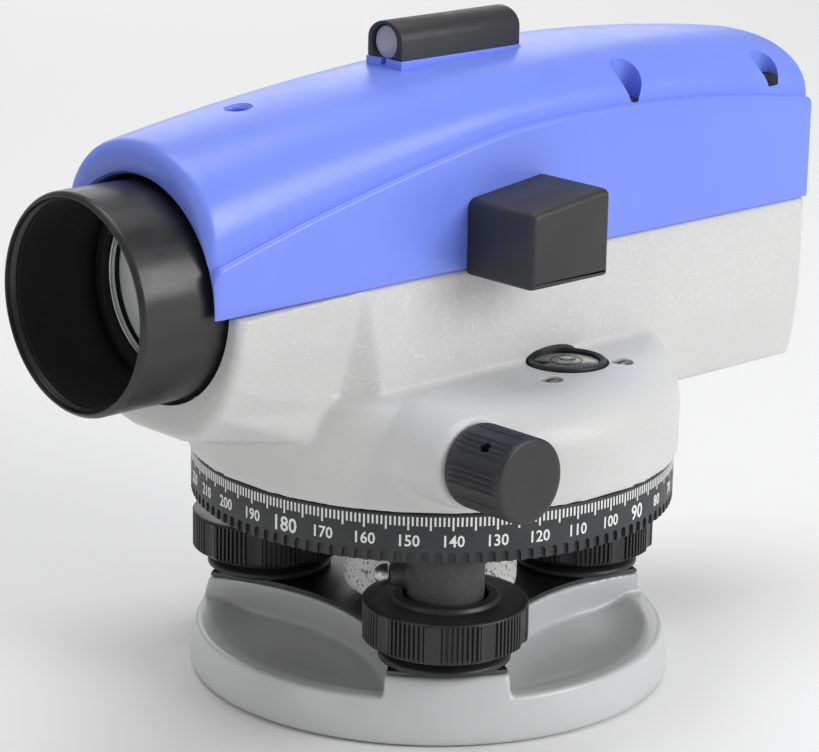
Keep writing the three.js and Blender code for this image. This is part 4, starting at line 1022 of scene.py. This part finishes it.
def makeEyepiece():
    at = (0, 0, housingLook["axis"])
    low, high = cadSpan("eyepiece_tube")
    tube = spun([
        (10, low.x), (12.6, low.x), (12.6, 98.5), (high.y, 98.5, 0.4), (high.y, 101, 0.5), (12.6, 101),
        (12.6, high.x, 0.3), (10, high.x, 0.3),
    ], 128, "X", at, closed=True)
    piece(tube, "eyepiece_barrel", "knobBlack", "alidade", ["eyepiece_tube"], sharp=30)
    low, high = cadSpan("dioptre_ring")
    radius = high.y
    rows = [(radius, low.x + 1.2 + k * 0.8) for k in range(6)]
    ring = spun([(12.9, low.x), (radius, low.x, 0.5), *rows, (radius, high.x, 0.8), (8.6, high.x, 0.4),
                 (8.6, 104.7), (12.9, 104.7)], 576, closed=True)
    ring = ribbed(ring, (0, 0, radius), low.x + 0.8, high.x - 0.9,
                  lambda turn: 0.5 * (trapezoid(turn / 6 % 1) - 1))
    piece(placed(ring, "X", at), "dioptre_knob", "knobBlack", "dioptre", ["dioptre_ring"],
          sharp=30)
    low, high = cadSpan("eyepiece_lens")
    lens = spun([(0, low.x), (4, low.x + 0.15), (8.2, low.x + 0.9), (8.2, high.x - 0.7, 0.2),
                 (4, high.x - 0.1),
                 (0, high.x)], 96, "X", at)
    piece(lens, "eye_lens", "lensGlass", "dioptre", ["eyepiece_lens"])
    low, high = cadSpan("eyecup")
    cup = spun([(7.8, low.x), (high.y, low.x, 0.4), (high.y, low.x + 1.6, 0.6), (11.2, high.x, 0.7),
                (9.4, high.x, 0.6), (7.8, low.x + 1.2, 0.5)], 128, "X", at, closed=True)
    piece(cup, "eye_cup", "rubberBlack", "dioptre", ["eyecup"])


makeObjective()
makeEyepiece()
print("telescope made")


# Drive and focus knobs

def flutedRule(groups, flutes, pitch, depth, first=0.0):
    span = 360 / groups

    def rule(turn):
        within = (turn - first) % span - span / 2
        nearest = min(abs(within - (k - (flutes - 1) / 2) * pitch) for k in range(flutes))
        return -depth * max(0.0, 1 - nearest / (pitch * 0.36)) ** 0.7

    return rule


def makeDriveKnobs():
    look = {"hole": 1.25, "holeY": 58.5, "holeTilt": 40.6, "bore": 2.9}
    for side, sign in (("left", -1), ("right", 1)):
        low, high = cadSpan(f"drive_knob_{side}")
        centre = (low + high) / 2
        radius = (high.x - low.x) / 2
        inner, outer = sorted((abs(low.y), abs(high.y)))
        rows = [(radius, inner + 2 + (outer - inner - 3.6) * k / 8) for k in range(9)]
        knob = spun([
            (0, outer - 2.7), (look["bore"], outer - 2.7), (look["bore"], inner), (radius - 0.4, inner, 0.5),
            (radius - 0.1, inner + 1.2), *rows, (radius, outer - 0.2, 0.7), (radius - 1.2, outer, 0.5),
            (0, outer),
        ], 432)
        knob = ribbed(knob, (0, 0, radius), inner + 1.5, outer - 1.0, flutedRule(8, 4, 8, 0.42, 22.5))
        knob = carved(knob, rod(look["hole"], -12, -3, axis="Y", at=(0, 0, look["holeY"]), steps=32))
        placed(knob, "Y")
        tilt = Matrix.Rotation(math.radians(-look["holeTilt"]), 3, "Y")
        bmesh.ops.rotate(knob, verts=knob.verts, cent=(0, 0, 0), matrix=tilt)
        if sign < 0:
            bmesh.ops.mirror(knob, geom=knob.verts[:] + knob.edges[:] + knob.faces[:],
                             matrix=Matrix.Identity(4),
                             merge_dist=-1, axis="Y")
            spare = [vert for vert in knob.verts if vert.co.y > 0]
            bmesh.ops.delete(knob, geom=spare, context="VERTS")
            bmesh.ops.recalc_face_normals(knob, faces=knob.faces)
        bmesh.ops.translate(knob, vec=(centre.x, 0, centre.z), verts=knob.verts)
        piece(knob, f"tangent_knob_{side}", "knobBlack", "tangent_drive", [f"drive_knob_{side}"],
              sharp=30)


def makeFocusKnob():
    low, high = cadSpan("focus_knob")
    centre = (low + high) / 2
    radius = (high.x - low.x) / 2
    rows = [(radius, low.y + 2 + 1.5 * k) for k in range(8)]
    knob = spun([
        (0, high.y - 3.7), (2.8, high.y - 3.7), (2.8, low.y), (radius, low.y, 0.8), *rows,
        (radius, high.y, 1.2),
        (radius - 3, high.y, 0.4), (radius - 3.6, high.y - 0.5, 0.4), (0, high.y - 0.5),
    ], 576)
    knob = ribbed(knob, (0, 0, radius), low.y + 1.4, high.y - 1.4,
                  lambda turn: 0.6 * (trapezoid(turn / 7.5 % 1, 0.6) - 1))
    placed(knob, "Y", (centre.x, 0, centre.z))
    piece(knob, "focusing_knob", "knobBlack", "focus_drive", ["focus_knob"], sharp=30)


makeDriveKnobs()
makeFocusKnob()
print("knobs made")


# Circular bubble, its mirror and the peep sight

def makeBubble():
    low, high = cadSpan("vial_cup")
    centre = (low + high) / 2
    at = (centre.x, centre.y, 0)
    radius = (high.x - low.x) / 2
    cup = spun([(0, low.z), (radius, low.z), (radius, high.z - 0.3, 0.3), (radius - 0.8, high.z, 0.3),
                (7.9, high.z - 0.5, 0.2), (7.6, high.z - 0.5), (7.6, low.z + 1), (0, low.z + 1)], 96, at=at)
    piece(cup, "vial_rim", "knobBlack", "alidade", ["vial_cup"])
    low, high = cadSpan("vial_glass")
    glass = spun([(0, low.z + 0.9), (7.4, low.z + 0.9, 0.2), (7.4, high.z - 0.4, 0.3),
                  (4.6, high.z - 0.1, 1),
                  (0, high.z)], 96, at=at)
    piece(glass, "vial_window", "vialGlass", "alidade", ["vial_glass"])
    floor = spun([(0, low.z + 0.1), (7.4, low.z + 0.1), (7.4, low.z + 0.6, 0.2), (0, low.z + 0.6)], 96,
                 at=at)
    piece(floor, "vial_floor", "vialFloor", "alidade")
    target = spun([(3.4, high.z - 0.15), (3.6, high.z - 0.15), (3.6, high.z + 0.02), (3.4, high.z + 0.03)],
                  96,
                  at=at, closed=True)
    piece(target, "vial_circle", "dialBlack", "alidade")
    bubble = spun([(0, high.z - 0.02), (1.3, high.z - 0.02, 0.4), (2.1, high.z + 0.12, 0.2),
                   (1.6, high.z + 0.3, 0.6),
                   (0, high.z + 0.36)], 64, at=(centre.x + 0.5, centre.y + 0.4, 0))
    piece(bubble, "vial_bubble", "vialGlass", "alidade")


def makeMirror():
    low, high = cadSpan("mirror_housing")
    frontTop = high.z - 2.8
    outline = [(low.z, low.x, 1.6), (low.z, high.x, 1), (high.z, high.x, 2.2), (frontTop, low.x, 2.4)]
    blank = pushed(rounded(outline), low.y, high.y)
    bmesh.ops.rotate(blank, verts=blank.verts, cent=(0, 0, 0),
                     matrix=Matrix(((0, 1, 0), (0, 0, 1), (1, 0, 0))))
    bmesh.ops.recalc_face_normals(blank, faces=blank.faces)
    rim = [edge for edge in blank.edges
           if all(abs(vert.co.y - low.y) < 0.01 for vert in edge.verts)]
    bmesh.ops.bevel(blank, geom=rim, offset=1.5, segments=4, profile=0.5, affect="EDGES", material=-1)
    hollow = block((low.x + 2.4, low.y + 2.2, low.z + 2.2), (high.x + 1, high.y - 2.2, frontTop - 2.4), 0.5)
    window = block((low.x + 9, low.y + 2.2, low.z - 1), (high.x + 1, high.y - 2.2, low.z + 4))
    piece(carved(blank, hollow, window), "mirror_box", "boxBlack", "alidade", ["mirror_housing"],
          sharp=30)


sightLook = {"crown": 0.75, "axis": 146.3, "bore": 3.8, "mouth": 4, "lens": 3.65}


def sightRing(x, inset):
    low, high = cadSpan("peep_sight")
    half = high.y - inset
    spring = high.z - high.y * sightLook["crown"]
    ring = [Vector((x, -half, spring)), Vector((x, -half, low.z + inset)), Vector((x, half, low.z + inset))]
    for k in range(15):
        turn = math.radians(k * 12)
        ring.append(Vector((x, half * math.cos(turn), spring + (high.z - inset - spring) * math.sin(turn))))
    return ring


def makeSight():
    look = sightLook
    low, high = cadSpan("peep_sight")
    ends = ((0, 0.4), (0.12, 0.12), (0.4, 0))
    rings = [sightRing(low.x + along, inset) for along, inset in ends]
    rings += [sightRing(high.x - along, inset) for along, inset in reversed(ends)]
    bar = lofted(rings)
    at = (0, 0, look["axis"])
    bore = spun([
        (0, low.x - 1), (look["mouth"], low.x - 1), (look["mouth"], low.x + 0.3),
        (look["bore"], low.x + 0.5),
        (look["bore"], high.x - 0.5), (look["mouth"], high.x), (look["mouth"], high.x + 1), (0, high.x + 1),
    ], 72, "X", at)
    piece(carved(bar, bore), "sight_bar", "boxBlack", "alidade", ["peep_sight"], sharp=30)
    low, high = cadSpan("peep_sight_rod")
    lens = spun([
        (0, low.x - 0.8), (2.2, low.x - 0.7, 0.5), (look["lens"] - 0.05, low.x - 0.3, 0.3),
        (look["lens"], low.x + 1), (look["lens"], high.x, 0.4), (0, high.x),
    ], 72, "X", at)
    piece(lens, "sight_lens", "rodGlass", "alidade", ["peep_sight_rod"])


makeBubble()
makeMirror()
makeSight()
print("bubble, mirror and sight made")


# Parts whose shape is already right take a finish only

plainParts = {
    "steel": ("vertical_spindle", "drive_shaft", "drive_worm", "set_screw_left", "set_screw_right",
              "focus_shaft",
              "damper_magnet"),
    "brass": ("spindle_bush", "clutch_wheel", "pendulum_arm"),
    "aluminium": ("compensator_frame", "focusing_carrier"),
    "innerBlack": ("reticle_cell",),
    "lensGlass": ("focusing_lens", "pendulum_prism", "fixed_prism", "reticle_glass"),
    "mirror": ("bubble_mirror",),
}
for finishName, members in plainParts.items():
    for member in members:
        part = nodes[member]
        part.data.materials.clear()
        part.data.materials.append(finishes[finishName])
print("parts finished")
